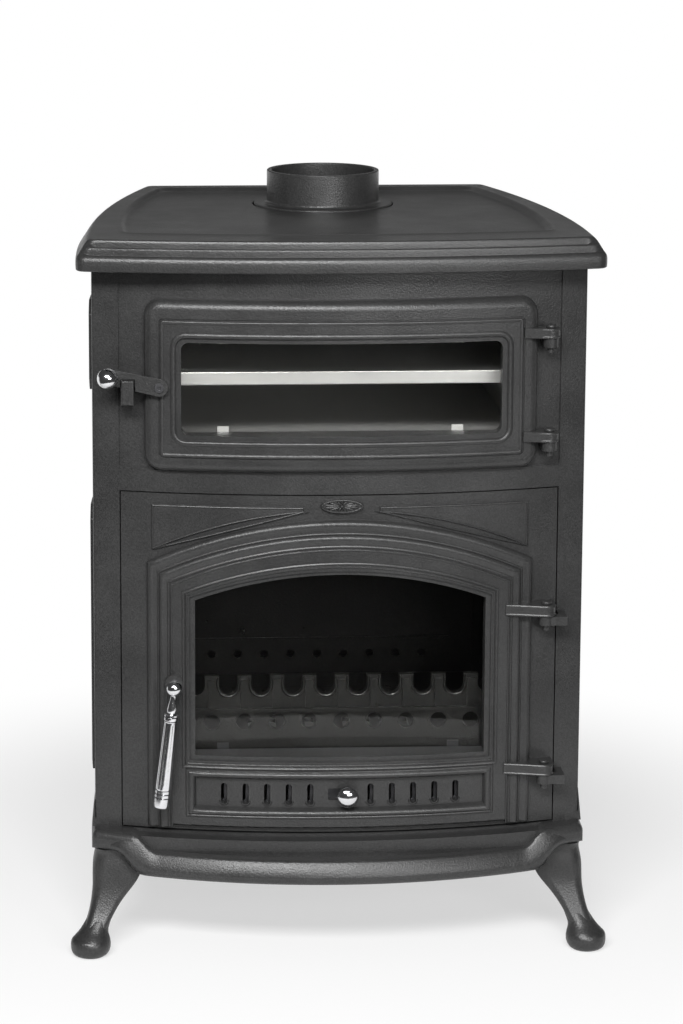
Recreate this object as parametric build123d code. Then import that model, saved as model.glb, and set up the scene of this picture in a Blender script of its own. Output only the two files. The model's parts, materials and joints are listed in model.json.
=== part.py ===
"""Wood cookstove in cast iron: an oven above a firebox, on four cabriole legs.

All lengths are in millimetres. X runs to the right, Y to the back and Z up from the floor. The pieces are
drawn with Y = 0 at the front corners of the casing, and move together along Y at the end, so that the origin
is the middle of the stove's footprint, on the floor.
"""
from build123d import *
import math
import os

# ---- casing -------------------------------------------------------------------------------------------------
BODY_HALF = 300.0  # half the width across the front frame
BODY_BOW = 45.0  # how far the front swells ahead of its corners
BODY_DEPTH = 462.0  # front corners to the back of the back panel
SIDE_TAPER = 81.0  # how much nearer to the middle each side stands at the back
BODY_REAR_HALF = BODY_HALF - SIDE_TAPER
SIDE_SWELL = 22.0  # how far each side swells out of the straight line
CASING_BOTTOM = 153.0  # top of the base casting
CASING_TOP = 876.0  # underside of the top plate
PANEL_WALL = 6.0
FRAME_WALL = 22.0
FRAME_CORNER_R = 4.0
FIT = 0.25  # gap between castings that meet on a curve
RELIEF = 4.0  # raised fields on the side panels
RELIEF_INSET = 45.0
RELIEF_CHAMFER = 16.0
UPPER_RELIEF = (690.0, 802.0)
LOWER_RELIEF = (205.0, 546.0)
BACK_RELIEF = 3.0
BACK_RELIEF_INSET = 30.0

# ---- top plate ----------------------------------------------------------------------------------------------
TOP_OVERHANG = 18.0  # how far the lip's front corners stand beyond the casing's
TOP_HALF = BODY_HALF + TOP_OVERHANG
TOP_CORNER_Y = -41.0
TOP_BOW = 33.0
TOP_REAR_OVERHANG = 19.0
TOP_REAR_HALF = BODY_REAR_HALF + TOP_REAR_OVERHANG
TOP_BACK_OVERHANG = 32.0
TOP_REAR_Y = BODY_DEPTH + TOP_BACK_OVERHANG
TOP_SWELL = 23.0
LIP_BOTTOM = 852.0
LIP_TOP = 871.0
STEP_TOP = 879.5
HOB_RIM = 888.5
STEP_RUN = 9.0  # tread of each front step
RIM_SLOPE_RUN = 16.0  # inward run of the sloped rim on the sides and back
LIP_WALL = 10.0
PLATE_CORNER_R = 12.0
LIP_EDGE_R = 4.0
HOB_DEPTH = 4.0  # the hob is sunk this far below the rim
HOB_MARGIN = 61.0  # rim beside the hob at the front, at the back corners and along the back
HOB_HALF = TOP_HALF - HOB_MARGIN
HOB_CORNER_Y = 30.0
HOB_BOW = 24.0
HOB_REAR_MARGIN = 30.0
HOB_REAR_HALF = TOP_REAR_HALF - HOB_REAR_MARGIN
HOB_BACK_MARGIN = 46.0
HOB_REAR_Y = TOP_REAR_Y - HOB_BACK_MARGIN
HOB_CORNER_R = 14.0

# ---- flue collar --------------------------------------------------------------------------------------------
FLUE_SETBACK = 141.0  # from the back of the casing to the middle of the flue
FLUE_Y = BODY_DEPTH - FLUE_SETBACK
FLUE_R = 73.0
FLUE_WALL = 6.0
FLUE_TOP = 929.0
FLANGE_R = 90.0
FLANGE_TOP = 886.0
FLANGE_WALL = 6.0
FLANGE_GAP = 1.0
COLLAR_BOLT_R = 3.0
COLLAR_BOLT_CIRCLE = 81.0

# ---- oven opening and door -----------------------------------------------------------------------------------
STILE = 32.0  # plain stile beside the oven recess
OVEN_RECESS_HALF = BODY_HALF - STILE
OVEN_RECESS_BOTTOM = 606.0
OVEN_RECESS_DEPTH = 3.0
JAMB = 85.0  # from the casing's side to either opening
OPENING_HALF = BODY_HALF - JAMB
OVEN_LAP = 22.0  # how far the oven door laps over the frame
OVEN_BORDER = 16.5  # width of the door's rolled border
OVEN_FIELD = 27.5  # width of the flat panel between the border and the window
WINDOW_BEVEL = 7.0  # width of the bevelled step round either window
OVEN_OPENING = (OPENING_HALF, 632.0, 793.0, 10.0)  # half width, bottom, top, corner radius
OVEN_DOOR = (OPENING_HALF + OVEN_LAP, 607.0, 817.0, 22.0)
OVEN_DOOR_FRONT = 14.0  # crest of the door ahead of the stove's front
OVEN_ROLL_R = 12.0  # rolled border of the door
OVEN_PANEL = (OVEN_DOOR[0] - OVEN_BORDER, 624.0, 794.0, 6.0)
OVEN_GROOVE = 1.6
OVEN_WINDOW = (OVEN_PANEL[0] - OVEN_FIELD, 652.0, 765.0, 9.0)
OVEN_BEVEL = (OVEN_WINDOW[0] + WINDOW_BEVEL, 646.0, 771.0, 12.0)
OVEN_BEVEL_DEPTH = 3.0
OVEN_SEAT_Y = -20.0  # flat seat that the oven glass lies against

# ---- fire opening and door -----------------------------------------------------------------------------------
FIRE_OPENING = (OPENING_HALF, 172.0, 522.0, 10.0)
DOOR_STILE = 34.0  # stile of the frame beside the fire door
DOOR_HALF = BODY_HALF - DOOR_STILE
DOOR_BOTTOM = 155.5
DOOR_TOP = 577.5
DOOR_WALL = 8.0
DOOR_GAP = 1.5  # open line round the fire door
DOOR_SEAT = 12.0  # depth of the pocket that the fire door closes into
# half width, bottom, springing, crown, height over the door and edge rounding of each step of the arch
ARCH_STEPS = (
    (DOOR_HALF - 31.0, 160.0, 492.0, 548.0, 3.0, 2.6),
    (DOOR_HALF - 46.0, 161.5, 479.5, 530.0, 6.0, 2.6),
    (DOOR_HALF - 60.0, 163.0, 466.0, 512.0, 8.0, 1.4),
)
SPANDREL_HALF = ARCH_STEPS[0][0] - 6.0
SPANDREL_TIP = 46.0
SPANDREL_TOP = 564.0
SPANDREL_H = 80.0
SPANDREL_MARGIN = 11.0  # between the arch and the raised corner panels
SPANDREL_HEIGHT = 2.5
SPANDREL_EDGE_R = 1.2
FIRE_FIELD = 29.0  # width of the flat face beside the window
FIRE_WINDOW = (ARCH_STEPS[-1][0] - FIRE_FIELD, 252.0, 447.0, 481.0)
FIRE_BEVEL = (FIRE_WINDOW[0] + WINDOW_BEVEL, 246.0, 451.0, 486.0)
FIRE_BEVEL_DEPTH = 3.0
FIRE_SEAT_Y = -12.0
WINDOW_RIM = 14.0  # wall of the window's frame behind either door
GLASS = 4.0
SEAL = 2.0
CLIP_WALL = 1.5
CLIP_W = 14.0
CLIP_SCREW_R = 2.0
OVEN_CLIP_INSET = 51.0  # from the side of the window to its clips
FIRE_CLIP_INSET = 35.0
FIRE_CLIP_TOP_X = 60.0
CLIP_RISE = 1.0  # the upper fire clips stand this much higher than the curved head of the window
ROSETTE_Z = 565.5
ROSETTE_HALF_W = 25.7
ROSETTE_HALF_H = 8.6
ROSETTE_HEIGHT = 4.0
ROSETTE_RAYS = 6

# ---- air control ---------------------------------------------------------------------------------------------
VENT_BORDER = (ARCH_STEPS[-1][0] - 18.0, 176.0, 235.0, 6.0)
VENT_FIELD = (VENT_BORDER[0] - 9.5, 184.0, 227.0, 4.0)
VENT_BEAD = 10.0  # crest of the border ahead of the stove's front
VENT_FLOOR = 4.0
SLOT_PITCH = 26.3
SLOT_FIRST = 36.9
SLOTS_EACH_SIDE = 5
SLOT_W = 7.5
SLOT_H = 26.0
SLOT_Z = 204.5
GUIDE_SLOT_HALF = 15.0
GUIDE_SLOT_H = 15.0
SLIDE_WALL = 3.5
SLIDE_HALF = VENT_BORDER[0] - 28.0
SLIDE_HALF_H = 17.0
SLIDE_CLEAR = 0.4
GUIDE_END = 20.0  # length of the guides beyond each end of the slide
SLIDE_SHIFT = -3.3  # how far the slide's slots stand to the left of the door's at rest
SLIDE_TRAVEL = (-12.0, 3.3)  # from rest to each end stop
AIR_KNOB_X = 8.0
AIR_KNOB_R = 13.6
AIR_STUD_R = 3.5

# ---- hinges --------------------------------------------------------------------------------------------------
PIN_INSET = 14.5  # from the fire door's edge to the hinge pins of both doors
PIN_X = DOOR_HALF - PIN_INSET
PIN_Y = -34.0
PIN_R = 4.0
PIN_FIT = 0.05
LUG_R = 9.0
ARM_R = 11.0
HINGE_GAP = 0.5
HINGE_BEVEL_RUN = 6.5  # where the bevel on the back of the fire door starts, inside the pins
HINGE_BEVEL_EDGE = 5.0  # what the bevel takes off the door's thickness at its edge
OVEN_SEATS = (767.5, 640.5)  # height of the plane between lug and arm
FIRE_SEATS = (423.5, 222.5)
OVEN_ARM_H = 12.0
FIRE_ARM_H = 14.0
LUG_H = 11.0

# ---- oven latch ----------------------------------------------------------------------------------------------
LATCH_INSET = 17.5  # from the oven door's edge to the latch's pivot
LATCH_X = LATCH_INSET - OVEN_DOOR[0]
LATCH_Z = 711.5
LATCH_REACH = 63.0
LATCH_TILT = 13.0
LATCH_BACK_Y = -39.5
LATCH_WALL = 6.0
LATCH_END_R = 10.5
LATCH_TIP_R = 9.5
LATCH_SCREW_R = 4.0
LATCH_BALL_R = 12.5
KEEPER = (LATCH_X - 45.5, LATCH_X - 30.0, 691.0, 721.0)
KEEPER_FRONT_Y = -49.0
NOTCH_GAP = 1.4

# ---- fire door handle ----------------------------------------------------------------------------------------
HANDLE_INSET = 3.0  # from the edge of the arch's inner step to the handle
HANDLE_X = HANDLE_INSET - ARCH_STEPS[-1][0]
HANDLE_Z = 343.0
HANDLE_TILT = 6.2
HANDLE_BALL_R = 10.0
HANDLE_BALL_Y = -56.0
HANDLE_LENGTH = 151.0
SPINDLE_R = 5.0
BOSS_R = 11.0
BOSS_FRONT = 12.0
CAM_Y = 7.0
CAM_WALL = 6.0
CAM_REACH = 32.0
CAM_HALF_W = 8.0

# ---- base and legs -------------------------------------------------------------------------------------------
BASE_OVERHANG = 4.0  # how far the base stands beyond the casing's front corners
BASE_HALF = BODY_HALF + BASE_OVERHANG
BASE_CORNER_Y = -22.0
BASE_BOW = 68.0
BASE_REAR_OVERHANG = 13.0
BASE_REAR_HALF = BODY_REAR_HALF + BASE_REAR_OVERHANG
BASE_BACK_OVERHANG = 16.0
BASE_REAR_Y = BODY_DEPTH + BASE_BACK_OVERHANG
BASE_BOTTOM = 128.0
BASE_WALL = 8.0
BASE_RIM = 14.0
ROLL_R = 10.0
APRON_BOTTOM = 102.0
APRON_TOP = 130.0
APRON_LEDGE = 20.0  # the plain band above the rolled apron stands this far ahead of the casing
APRON_HALF_TOP = BASE_HALF - 79.0
APRON_HALF_BOTTOM = BASE_HALF - 61.0
SWEEP = 30.0
EAR_TOP = 196.0
EAR_WALL = 4.0
EAR_DEPTH = 75.0
LEG_POCKET = (BASE_HALF - 62.5, BASE_HALF - 1.5, -25.5)  # room behind the band for the head of a front leg
LEG_BOLT_R = 4.0
LEG_BOLT_GRIP = 18.0  # length of the bolts inside the legs
LEG_BOLT_SPOT = (BASE_HALF - 42.0, 24.0)
REAR_LEG_INSET = BASE_HALF - BASE_REAR_HALF - 10.0  # the rear legs stand this much closer to the middle
REAR_LEG_SETBACK = 33.0
REAR_LEG_Y = BODY_DEPTH - REAR_LEG_SETBACK
FOOT_X = BASE_HALF + 3.5
FOOT_Y = -41.0
FOOT_R = 23.5
FOOT_H = 25.0

# ---- oven and firebox ----------------------------------------------------------------------------------------
OVEN_BOX = (OPENING_HALF + 11.0, 624.0, 801.0)
OVEN_BOX_SETBACK = 58.0
OVEN_BOX_REAR = BODY_DEPTH - OVEN_BOX_SETBACK
SHEET = 3.0
SHELF_TOP = 718.0
SHELF_GAP = 4.0  # between the shelf and each wall of the oven
SHELF_HALF = OVEN_BOX[0] - SHEET - SHELF_GAP
SHELF_LIP = 15.6
SHELF_FRONT_Y = 20.0
SHELF_WALL = 2.0
RAIL_H = 16.0
HEARTH_Z = 226.0
HEARTH_WALL = 8.0
LINER_INSET = 20.0
LINER_WALL = 9.0
LINER_TOP = 624.0
REAR_LINER_SETBACK = 62.0  # from the back of the casing to the face of the rear liner
REAR_LINER_Y = BODY_DEPTH - REAR_LINER_SETBACK
AIR_HOLE_PITCH = 36.0
AIR_HOLE_R = 5.5
AIR_HOLE_Z = 254.0
AIR_HOLES_EACH_SIDE = 4
GRATE_HALF = 118.0
GRATE_FRONT_Y = 84.0
GRATE_REAR_Y = REAR_LINER_Y - 64.0
GRATE_WALL = 6.0
GRATE_REBATE = 8.0
GRATE_SLOTS = 9
GRATE_SLOT_W = 12.0
GUARD_Y = 22.0
GUARD_WALL = 8.0
GUARD_TOP = 335.0
GUARD_SHIFT = 6.0
GUARD_PITCH = 40.2
GUARD_POSTS = 9
GUARD_POST_W = 18.0
GUARD_NOTCH_BOTTOM = 311.0
GUARD_LEDGE_Z = 294.0
GUARD_HOLE_R = 9.8
GUARD_HOLE_Z = 276.0
PAN_HALF = 170.0
SUPPORT_X = PAN_HALF + 6.0
SUPPORT_WALL = 8.0
PAN_FRONT_Y = 8.0
PAN_REAR_Y = REAR_LINER_Y - 40.0
PAN_BOTTOM = 173.0
PAN_TOP = 209.0
PAN_WALL = 1.5
ROD_R = 4.0
ROD_SPOTS = ((BODY_HALF - 34.0, 52.0), (BODY_REAR_HALF - 29.0, BODY_DEPTH - 21.0))
BOSS_H = 12.0


# ---- shapes that the whole stove shares ------------------------------------------------------------------------
def arc_radius(half_chord, rise):
    """Radius of the arc that rises this far over a chord of twice half_chord."""
    return (half_chord**2 + rise**2) / (2 * rise)


BOW_R = arc_radius(BODY_HALF, BODY_BOW)
BOW_Y = BOW_R - BODY_BOW  # the upright axis that the whole front is bent round
REACH = 2 * BODY_DEPTH  # longer than the stove in any direction


def front_y(x, ahead=0.0):
    """Y of the bowed front at x, or of the surface that lies this far ahead of it."""
    return BOW_Y - math.sqrt((BOW_R + ahead) ** 2 - x**2)


def block(x_min, x_max, y_min, y_max, z_min, z_max):
    """Rectangular block between two opposite corners."""
    middle = ((x_min + x_max) / 2, (y_min + y_max) / 2, (z_min + z_max) / 2)
    return Pos(*middle) * Box(x_max - x_min, y_max - y_min, z_max - z_min)


def upright(x, y, z_min, z_max, radius):
    """Cylinder along Z."""
    return Pos(x, y, (z_min + z_max) / 2) * Cylinder(radius, z_max - z_min)


def level(x, z, y_min, y_max, radius):
    """Cylinder along Y."""
    return Pos(x, (y_min + y_max) / 2, z) * Rot(90, 0, 0) * Cylinder(radius, y_max - y_min)


def bowed_slab(half, behind, ahead, z_min, z_max):
    """Slab bent round the bow's axis, from behind to ahead of the stove's front surface."""
    ring = Pos(0, BOW_Y, z_min) * (Circle(BOW_R + ahead) - Circle(BOW_R - behind))
    window = Pos(0, 0, z_min) * Rectangle(2 * half, REACH)
    return extrude(ring & window, z_max - z_min)


def elevation(outline, y_front=-REACH / 4, y_back=REACH / 4):
    """Prism along Y of an outline drawn in the front view."""
    return extrude(Plane.XZ.offset(-y_back) * outline, y_back - y_front)


def rounded(half, bottom, top, radius):
    """Front-view rectangle with rounded corners, centred across the stove."""
    return Pos(0, (bottom + top) / 2) * RectangleRounded(2 * half, top - bottom, radius)


def arched(half, bottom, spring, crown):
    """Front-view panel with an arched head."""
    sill = Line((-half, bottom), (half, bottom))
    right = Line((half, bottom), (half, spring))
    head = ThreePointArc((half, spring), (0, crown), (-half, spring))
    left = Line((-half, spring), (-half, bottom))
    return make_face([sill, right, head, left])


def plan(front_half, corner_y, bow, rear_half, rear_y, swell, z=0.0):
    """Plan outline with a bowed front, swelled sides and a straight back."""
    run = Vector(rear_half - front_half, rear_y - corner_y)
    outward = Vector(run.Y, -run.X).normalized()
    side = Vector((front_half + rear_half) / 2, (corner_y + rear_y) / 2) + outward * swell
    front = ThreePointArc((-front_half, corner_y), (0, corner_y - bow), (front_half, corner_y))
    right = ThreePointArc((front_half, corner_y), (side.X, side.Y), (rear_half, rear_y))
    back = Line((rear_half, rear_y), (-rear_half, rear_y))
    left = ThreePointArc((-rear_half, rear_y), (-side.X, side.Y), (-front_half, corner_y))
    return Pos(0, 0, z) * make_face([front, right, back, left])


def casing(grow=0.0, z=0.0):
    """Plan outline of the casing, grown sideways."""
    return plan(BODY_HALF + grow, 0, BODY_BOW, BODY_REAR_HALF + grow, BODY_DEPTH, SIDE_SWELL, z)


def casing_block(grow, z_min, z_max):
    """Upright prism of the casing's outline."""
    return extrude(casing(grow, z_min), z_max - z_min)


def ahead_of(behind, z_min, z_max):
    """All the space ahead of the surface that lies this far behind the stove's front."""
    return bowed_slab(BODY_HALF * 1.2, behind, REACH / 4, z_min, z_max)


def front_face(solid):
    """The face of a bowed slab that looks to the front."""
    return solid.faces().filter_by(GeomType.CYLINDER).sort_by(Axis.Y)[0]


def raised(outline, behind, ahead, edge_r):
    """Raised field on the bowed front, with a rounded front edge."""
    field = elevation(outline) & bowed_slab(BODY_HALF, behind, ahead, 0, CASING_TOP)
    return fillet(front_face(field).edges(), edge_r)


def both_sides(piece):
    """A piece on the right, and its mirror image on the left."""
    return piece, mirror(piece, Plane.YZ)


# ---- casing ----------------------------------------------------------------------------------------------------
def fire_lug(seat):
    """Cast lug that reaches from the right stile, ahead of the door's edge, to the pin."""
    root = DOOR_HALF + DOOR_GAP + 0.1
    top = seat - HINGE_GAP / 2
    reach = block(PIN_X, root + LUG_R, PIN_Y - LUG_R + 2, PIN_Y + LUG_R - 2, top - LUG_H, top)
    stem = block(root, root + LUG_R, PIN_Y, front_y(root) + PANEL_WALL, top - LUG_H, top)
    return reach + stem + upright(PIN_X, PIN_Y, top - LUG_H, top, LUG_R)


def oven_lug(seat):
    """Cast lug that stands straight out of the oven recess."""
    top = seat - HINGE_GAP / 2
    stem = block(PIN_X - LUG_R, PIN_X + LUG_R, PIN_Y, front_y(PIN_X) + PANEL_WALL, top - LUG_H, top)
    return stem + upright(PIN_X, PIN_Y, top - LUG_H, top, LUG_R)


def front_frame():
    """Bowed front casting with the oven recess, the fire door's pocket and the hinge lugs."""
    frame = bowed_slab(BODY_HALF, FRAME_WALL, 0, CASING_BOTTOM, CASING_TOP)
    corners = frame.edges().filter_by(Axis.Z).filter_by(lambda edge: edge.center().Y < FRAME_CORNER_R)
    frame = fillet(corners, FRAME_CORNER_R)
    recess = elevation(rounded(OVEN_RECESS_HALF, OVEN_RECESS_BOTTOM, CASING_TOP + 40, FRAME_CORNER_R))
    frame -= recess & ahead_of(OVEN_RECESS_DEPTH, CASING_BOTTOM, CASING_TOP + 40)
    frame -= elevation(rounded(*OVEN_OPENING))
    frame -= bowed_slab(DOOR_HALF + DOOR_GAP, DOOR_SEAT, REACH / 4, CASING_BOTTOM - 1, DOOR_TOP + DOOR_GAP)
    frame -= elevation(rounded(*FIRE_OPENING))
    for seat in OVEN_SEATS:
        frame += oven_lug(seat)
    for seat in FIRE_SEATS:
        frame += fire_lug(seat)
    for seat in OVEN_SEATS + FIRE_SEATS:
        frame -= upright(PIN_X, PIN_Y, seat - 2 * LUG_H, seat, PIN_R + PIN_FIT)
    x_min, x_max, z_min, z_max = KEEPER
    frame -= level((x_min + x_max) / 2, (z_min + z_max) / 2, -REACH / 4, REACH / 4, CLIP_SCREW_R + PIN_FIT)
    return frame


def relief_prism(z_min, z_max):
    """Side-view prism with cut corners, for a raised field on a side panel."""
    y_min = RELIEF_INSET
    y_max = BODY_DEPTH - RELIEF_INSET
    cut = RELIEF_CHAMFER
    corners = [
        (y_min + cut, z_min), (y_max - cut, z_min), (y_max, z_min + cut), (y_max, z_max - cut),
        (y_max - cut, z_max), (y_min + cut, z_max), (y_min, z_max - cut), (y_min, z_min + cut),
    ]
    return extrude(Plane.YZ * make_face(Polyline(*corners, close=True)), REACH)


def side_panel():
    """Right side panel, which follows the swelled side, with two raised fields outside."""
    inside = block(PANEL_WALL, REACH, -REACH, BODY_DEPTH - PANEL_WALL, CASING_BOTTOM, CASING_TOP)
    shell = casing_block(0, CASING_BOTTOM, CASING_TOP) - casing_block(-PANEL_WALL, CASING_BOTTOM, CASING_TOP)
    panel = (shell & inside) - ahead_of(FRAME_WALL + FIT, CASING_BOTTOM, CASING_TOP)
    skin = casing_block(RELIEF, CASING_BOTTOM, CASING_TOP) - casing_block(-1, CASING_BOTTOM, CASING_TOP)
    for z_min, z_max in (UPPER_RELIEF, LOWER_RELIEF):
        panel += skin & relief_prism(z_min, z_max)
    return panel


def back_panel():
    """Flat back with a raised border field."""
    outer = casing_block(0, CASING_BOTTOM, CASING_TOP)
    panel = outer & block(-REACH, REACH, BODY_DEPTH - PANEL_WALL, REACH, CASING_BOTTOM, CASING_TOP)
    half = BODY_REAR_HALF - BACK_RELIEF_INSET
    field = rounded(half, CASING_BOTTOM + BACK_RELIEF_INSET, CASING_TOP - BACK_RELIEF_INSET, BACK_RELIEF_INSET / 2)
    panel += elevation(field, BODY_DEPTH - 1, BODY_DEPTH + BACK_RELIEF)
    return panel


def top_outline(grow, z, corner_r):
    """Plan outline of the top plate with rounded front corners."""
    outline = plan(TOP_HALF + grow, TOP_CORNER_Y - grow, TOP_BOW, TOP_REAR_HALF + grow, TOP_REAR_Y + grow,
                   TOP_SWELL, z)
    return fillet(outline.vertices().sort_by(Axis.Y)[:2], corner_r)


def hob_outline(z):
    """Plan outline of the sunk hob."""
    return plan(HOB_HALF, HOB_CORNER_Y, HOB_BOW, HOB_REAR_HALF, HOB_REAR_Y, TOP_SWELL, z)


def top_plate():
    """Top plate: stepped front lip, sloped rim on the sides, sunk hob and the seat of the flue collar."""
    bow_r = arc_radius(TOP_HALF, TOP_BOW)
    axis_y = TOP_CORNER_Y - TOP_BOW + bow_r
    inner_r = bow_r - (TOP_REAR_Y - TOP_CORNER_Y) * 1.5
    step_r = bow_r - STEP_RUN
    rim_r = step_r - STEP_RUN
    steps = Polyline(
        (inner_r, LIP_BOTTOM), (bow_r, LIP_BOTTOM), (bow_r, LIP_TOP), (step_r, LIP_TOP), (step_r, STEP_TOP),
        (rim_r, STEP_TOP), (rim_r, HOB_RIM), (inner_r, HOB_RIM), close=True,
    )
    profile = make_face(steps)
    arrises = profile.vertices().filter_by(
        lambda v: (v.X, v.Y) in ((bow_r, LIP_TOP), (step_r, STEP_TOP), (rim_r, HOB_RIM))
    )
    profile = fillet(arrises, LIP_EDGE_R)
    section = Plane(origin=(0, axis_y, 0), x_dir=(0, 1, 0), z_dir=(1, 0, 0))
    front_shape = revolve(section * profile, Axis((0, axis_y, 0), (0, 0, 1)), 360)
    slope = math.degrees(math.atan2(RIM_SLOPE_RUN, HOB_RIM - LIP_TOP))
    sides = extrude(top_outline(0, LIP_BOTTOM, PLATE_CORNER_R), LIP_TOP - LIP_BOTTOM)
    sides += extrude(top_outline(0, LIP_TOP, PLATE_CORNER_R), HOB_RIM - LIP_TOP, taper=slope)
    plate = sides & front_shape
    hollow = extrude(top_outline(-LIP_WALL, LIP_BOTTOM, 2), CASING_TOP - LIP_BOTTOM)
    hollow -= revolve(section * Pos(bow_r, CASING_TOP) * Rectangle(4 * LIP_WALL, 2 * LIP_WALL * 6), Axis(
        (0, axis_y, 0), (0, 0, 1)), 360)
    plate -= hollow
    hob = extrude(hob_outline(HOB_RIM - HOB_DEPTH), 2 * HOB_DEPTH)
    hob = fillet(hob.edges().filter_by(Axis.Z), HOB_CORNER_R)
    plate -= hob
    for x, y in ROD_SPOTS:
        for side in (-1, 1):
            plate += upright(side * x, y, CASING_TOP - BOSS_H, CASING_TOP + 1, 2.5 * ROD_R)
            plate -= upright(side * x, y, CASING_TOP - BOSS_H, CASING_TOP + 2, ROD_R + PIN_FIT)
    plate -= upright(0, FLUE_Y, FLANGE_TOP - FLANGE_WALL, HOB_RIM, FLANGE_R + FLANGE_GAP)
    plate -= upright(0, FLUE_Y, CASING_TOP - 1, HOB_RIM, FLUE_R - FLUE_WALL)
    for x, y in collar_bolts():
        plate -= upright(x, y, CASING_TOP - 1, HOB_RIM, COLLAR_BOLT_R + PIN_FIT)
    return plate


def collar_bolts():
    """Plan places of the three bolts that pull the flange down."""
    for turn in (90, 210, 330):
        angle = math.radians(turn)
        yield COLLAR_BOLT_CIRCLE * math.cos(angle), FLUE_Y + COLLAR_BOLT_CIRCLE * math.sin(angle)


def flue_collar():
    """Cast spigot for the flue pipe, with a flange sunk into the hob."""
    flange_bottom = FLANGE_TOP - FLANGE_WALL
    collar = upright(0, FLUE_Y, flange_bottom, FLANGE_TOP, FLANGE_R)
    collar = fillet(collar.edges().group_by(Axis.Z)[-1], 1.5)
    collar += upright(0, FLUE_Y, flange_bottom, FLUE_TOP, FLUE_R)
    root = collar.edges().filter_by(GeomType.CIRCLE).filter_by(
        lambda edge: abs(edge.radius - FLUE_R) < 0.01 and abs(edge.center().Z - FLANGE_TOP) < 0.01
    )
    collar = fillet(root, 4)
    collar -= upright(0, FLUE_Y, flange_bottom, FLUE_TOP, FLUE_R - FLUE_WALL)
    collar = fillet(collar.edges().group_by(Axis.Z)[-1], 1.5)
    for x, y in collar_bolts():
        collar -= upright(x, y, flange_bottom, FLANGE_TOP - 1.5, COLLAR_BOLT_R + PIN_FIT)
    return collar


def collar_bolt_set():
    """Three bolts from under the top plate into the flange."""
    bolts = []
    for x, y in collar_bolts():
        shank = upright(x, y, CASING_TOP, FLANGE_TOP - 2, COLLAR_BOLT_R)
        bolts.append(shank + extrude(Pos(x, y, CASING_TOP - 4) * RegularPolygon(5.5, 6), 4))
    return bolts


def tie_rods():
    """Four upright rods that clamp the casing between the base and the top plate."""
    rods = []
    for x, y in ROD_SPOTS:
        for side in (-1, 1):
            rods.append(upright(side * x, y, CASING_BOTTOM - BASE_WALL - 12, CASING_TOP, ROD_R))
    return rods


def tie_rod_nuts():
    """Nuts on the rods, under the base."""
    nuts = []
    top = CASING_BOTTOM - BASE_WALL
    for x, y in ROD_SPOTS:
        for side in (-1, 1):
            nut = extrude(Pos(side * x, y, top - 7) * RegularPolygon(8, 6), 7)
            nuts.append(nut - upright(side * x, y, top - 8, top + 1, ROD_R + PIN_FIT))
    return nuts


# ---- base and legs ---------------------------------------------------------------------------------------------
def base_outline(z):
    """Plan outline of the base casting."""
    return plan(BASE_HALF, BASE_CORNER_Y, BASE_BOW, BASE_REAR_HALF, BASE_REAR_Y, SIDE_SWELL, z)


def sweep_line(half, low, high, side):
    """Front-view S line of two equal arcs, from the apron up to the shoulder over the leg."""
    rise = high - low
    radius = (SWEEP**2 + rise**2) / (4 * rise)
    turn = math.atan2(rise, SWEEP)
    out = side * radius * math.sin(turn)
    up = radius * (1 - math.cos(turn))
    start = (side * half, low)
    middle = (side * (half + SWEEP / 2), (low + high) / 2)
    end = (side * (half + SWEEP), high)
    lower = ThreePointArc(start, (start[0] + out, low + up), middle)
    upper = ThreePointArc(middle, (end[0] - out, high - up), end)
    return [lower, upper]


def apron_band():
    """Front-view outline of the rolled band: low across the front, and up over each leg."""
    far = BASE_HALF * 1.2
    edges = [
        Line((-APRON_HALF_TOP, APRON_TOP), (APRON_HALF_TOP, APRON_TOP)),
        Line((-APRON_HALF_BOTTOM, APRON_BOTTOM), (APRON_HALF_BOTTOM, APRON_BOTTOM)),
    ]
    for side in (-1, 1):
        edges += sweep_line(APRON_HALF_TOP, APRON_TOP, CASING_BOTTOM, side)
        edges += sweep_line(APRON_HALF_BOTTOM, APRON_BOTTOM, BASE_BOTTOM, side)
        edges.append(Line((side * (APRON_HALF_TOP + SWEEP), CASING_BOTTOM), (side * far, CASING_BOTTOM)))
        edges.append(Line((side * (APRON_HALF_BOTTOM + SWEEP), BASE_BOTTOM), (side * far, BASE_BOTTOM)))
        edges.append(Line((side * far, BASE_BOTTOM), (side * far, CASING_BOTTOM)))
    return make_face(edges)


def base_ears():
    """Thin horns of the base that climb beside the front corners of the casing."""
    slope = math.degrees(math.atan2(EAR_WALL, EAR_TOP - CASING_BOTTOM))
    skirt = extrude(casing(EAR_WALL, CASING_BOTTOM - 2), EAR_TOP - CASING_BOTTOM + 1, taper=slope)
    skirt -= casing_block(FIT, CASING_BOTTOM, EAR_TOP)
    rise = EAR_TOP - CASING_BOTTOM
    corners = [
        (-5, CASING_BOTTOM - 2), (EAR_DEPTH, CASING_BOTTOM - 2), (0.75 * EAR_DEPTH, CASING_BOTTOM + 0.12 * rise),
        (0.4 * EAR_DEPTH, CASING_BOTTOM + 0.5 * rise), (0.15 * EAR_DEPTH, EAR_TOP), (-5, EAR_TOP),
    ]
    side_view = extrude(Plane.YZ * make_face(Polyline(*corners, close=True)), 2 * REACH, both=True)
    return skirt & side_view


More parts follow.
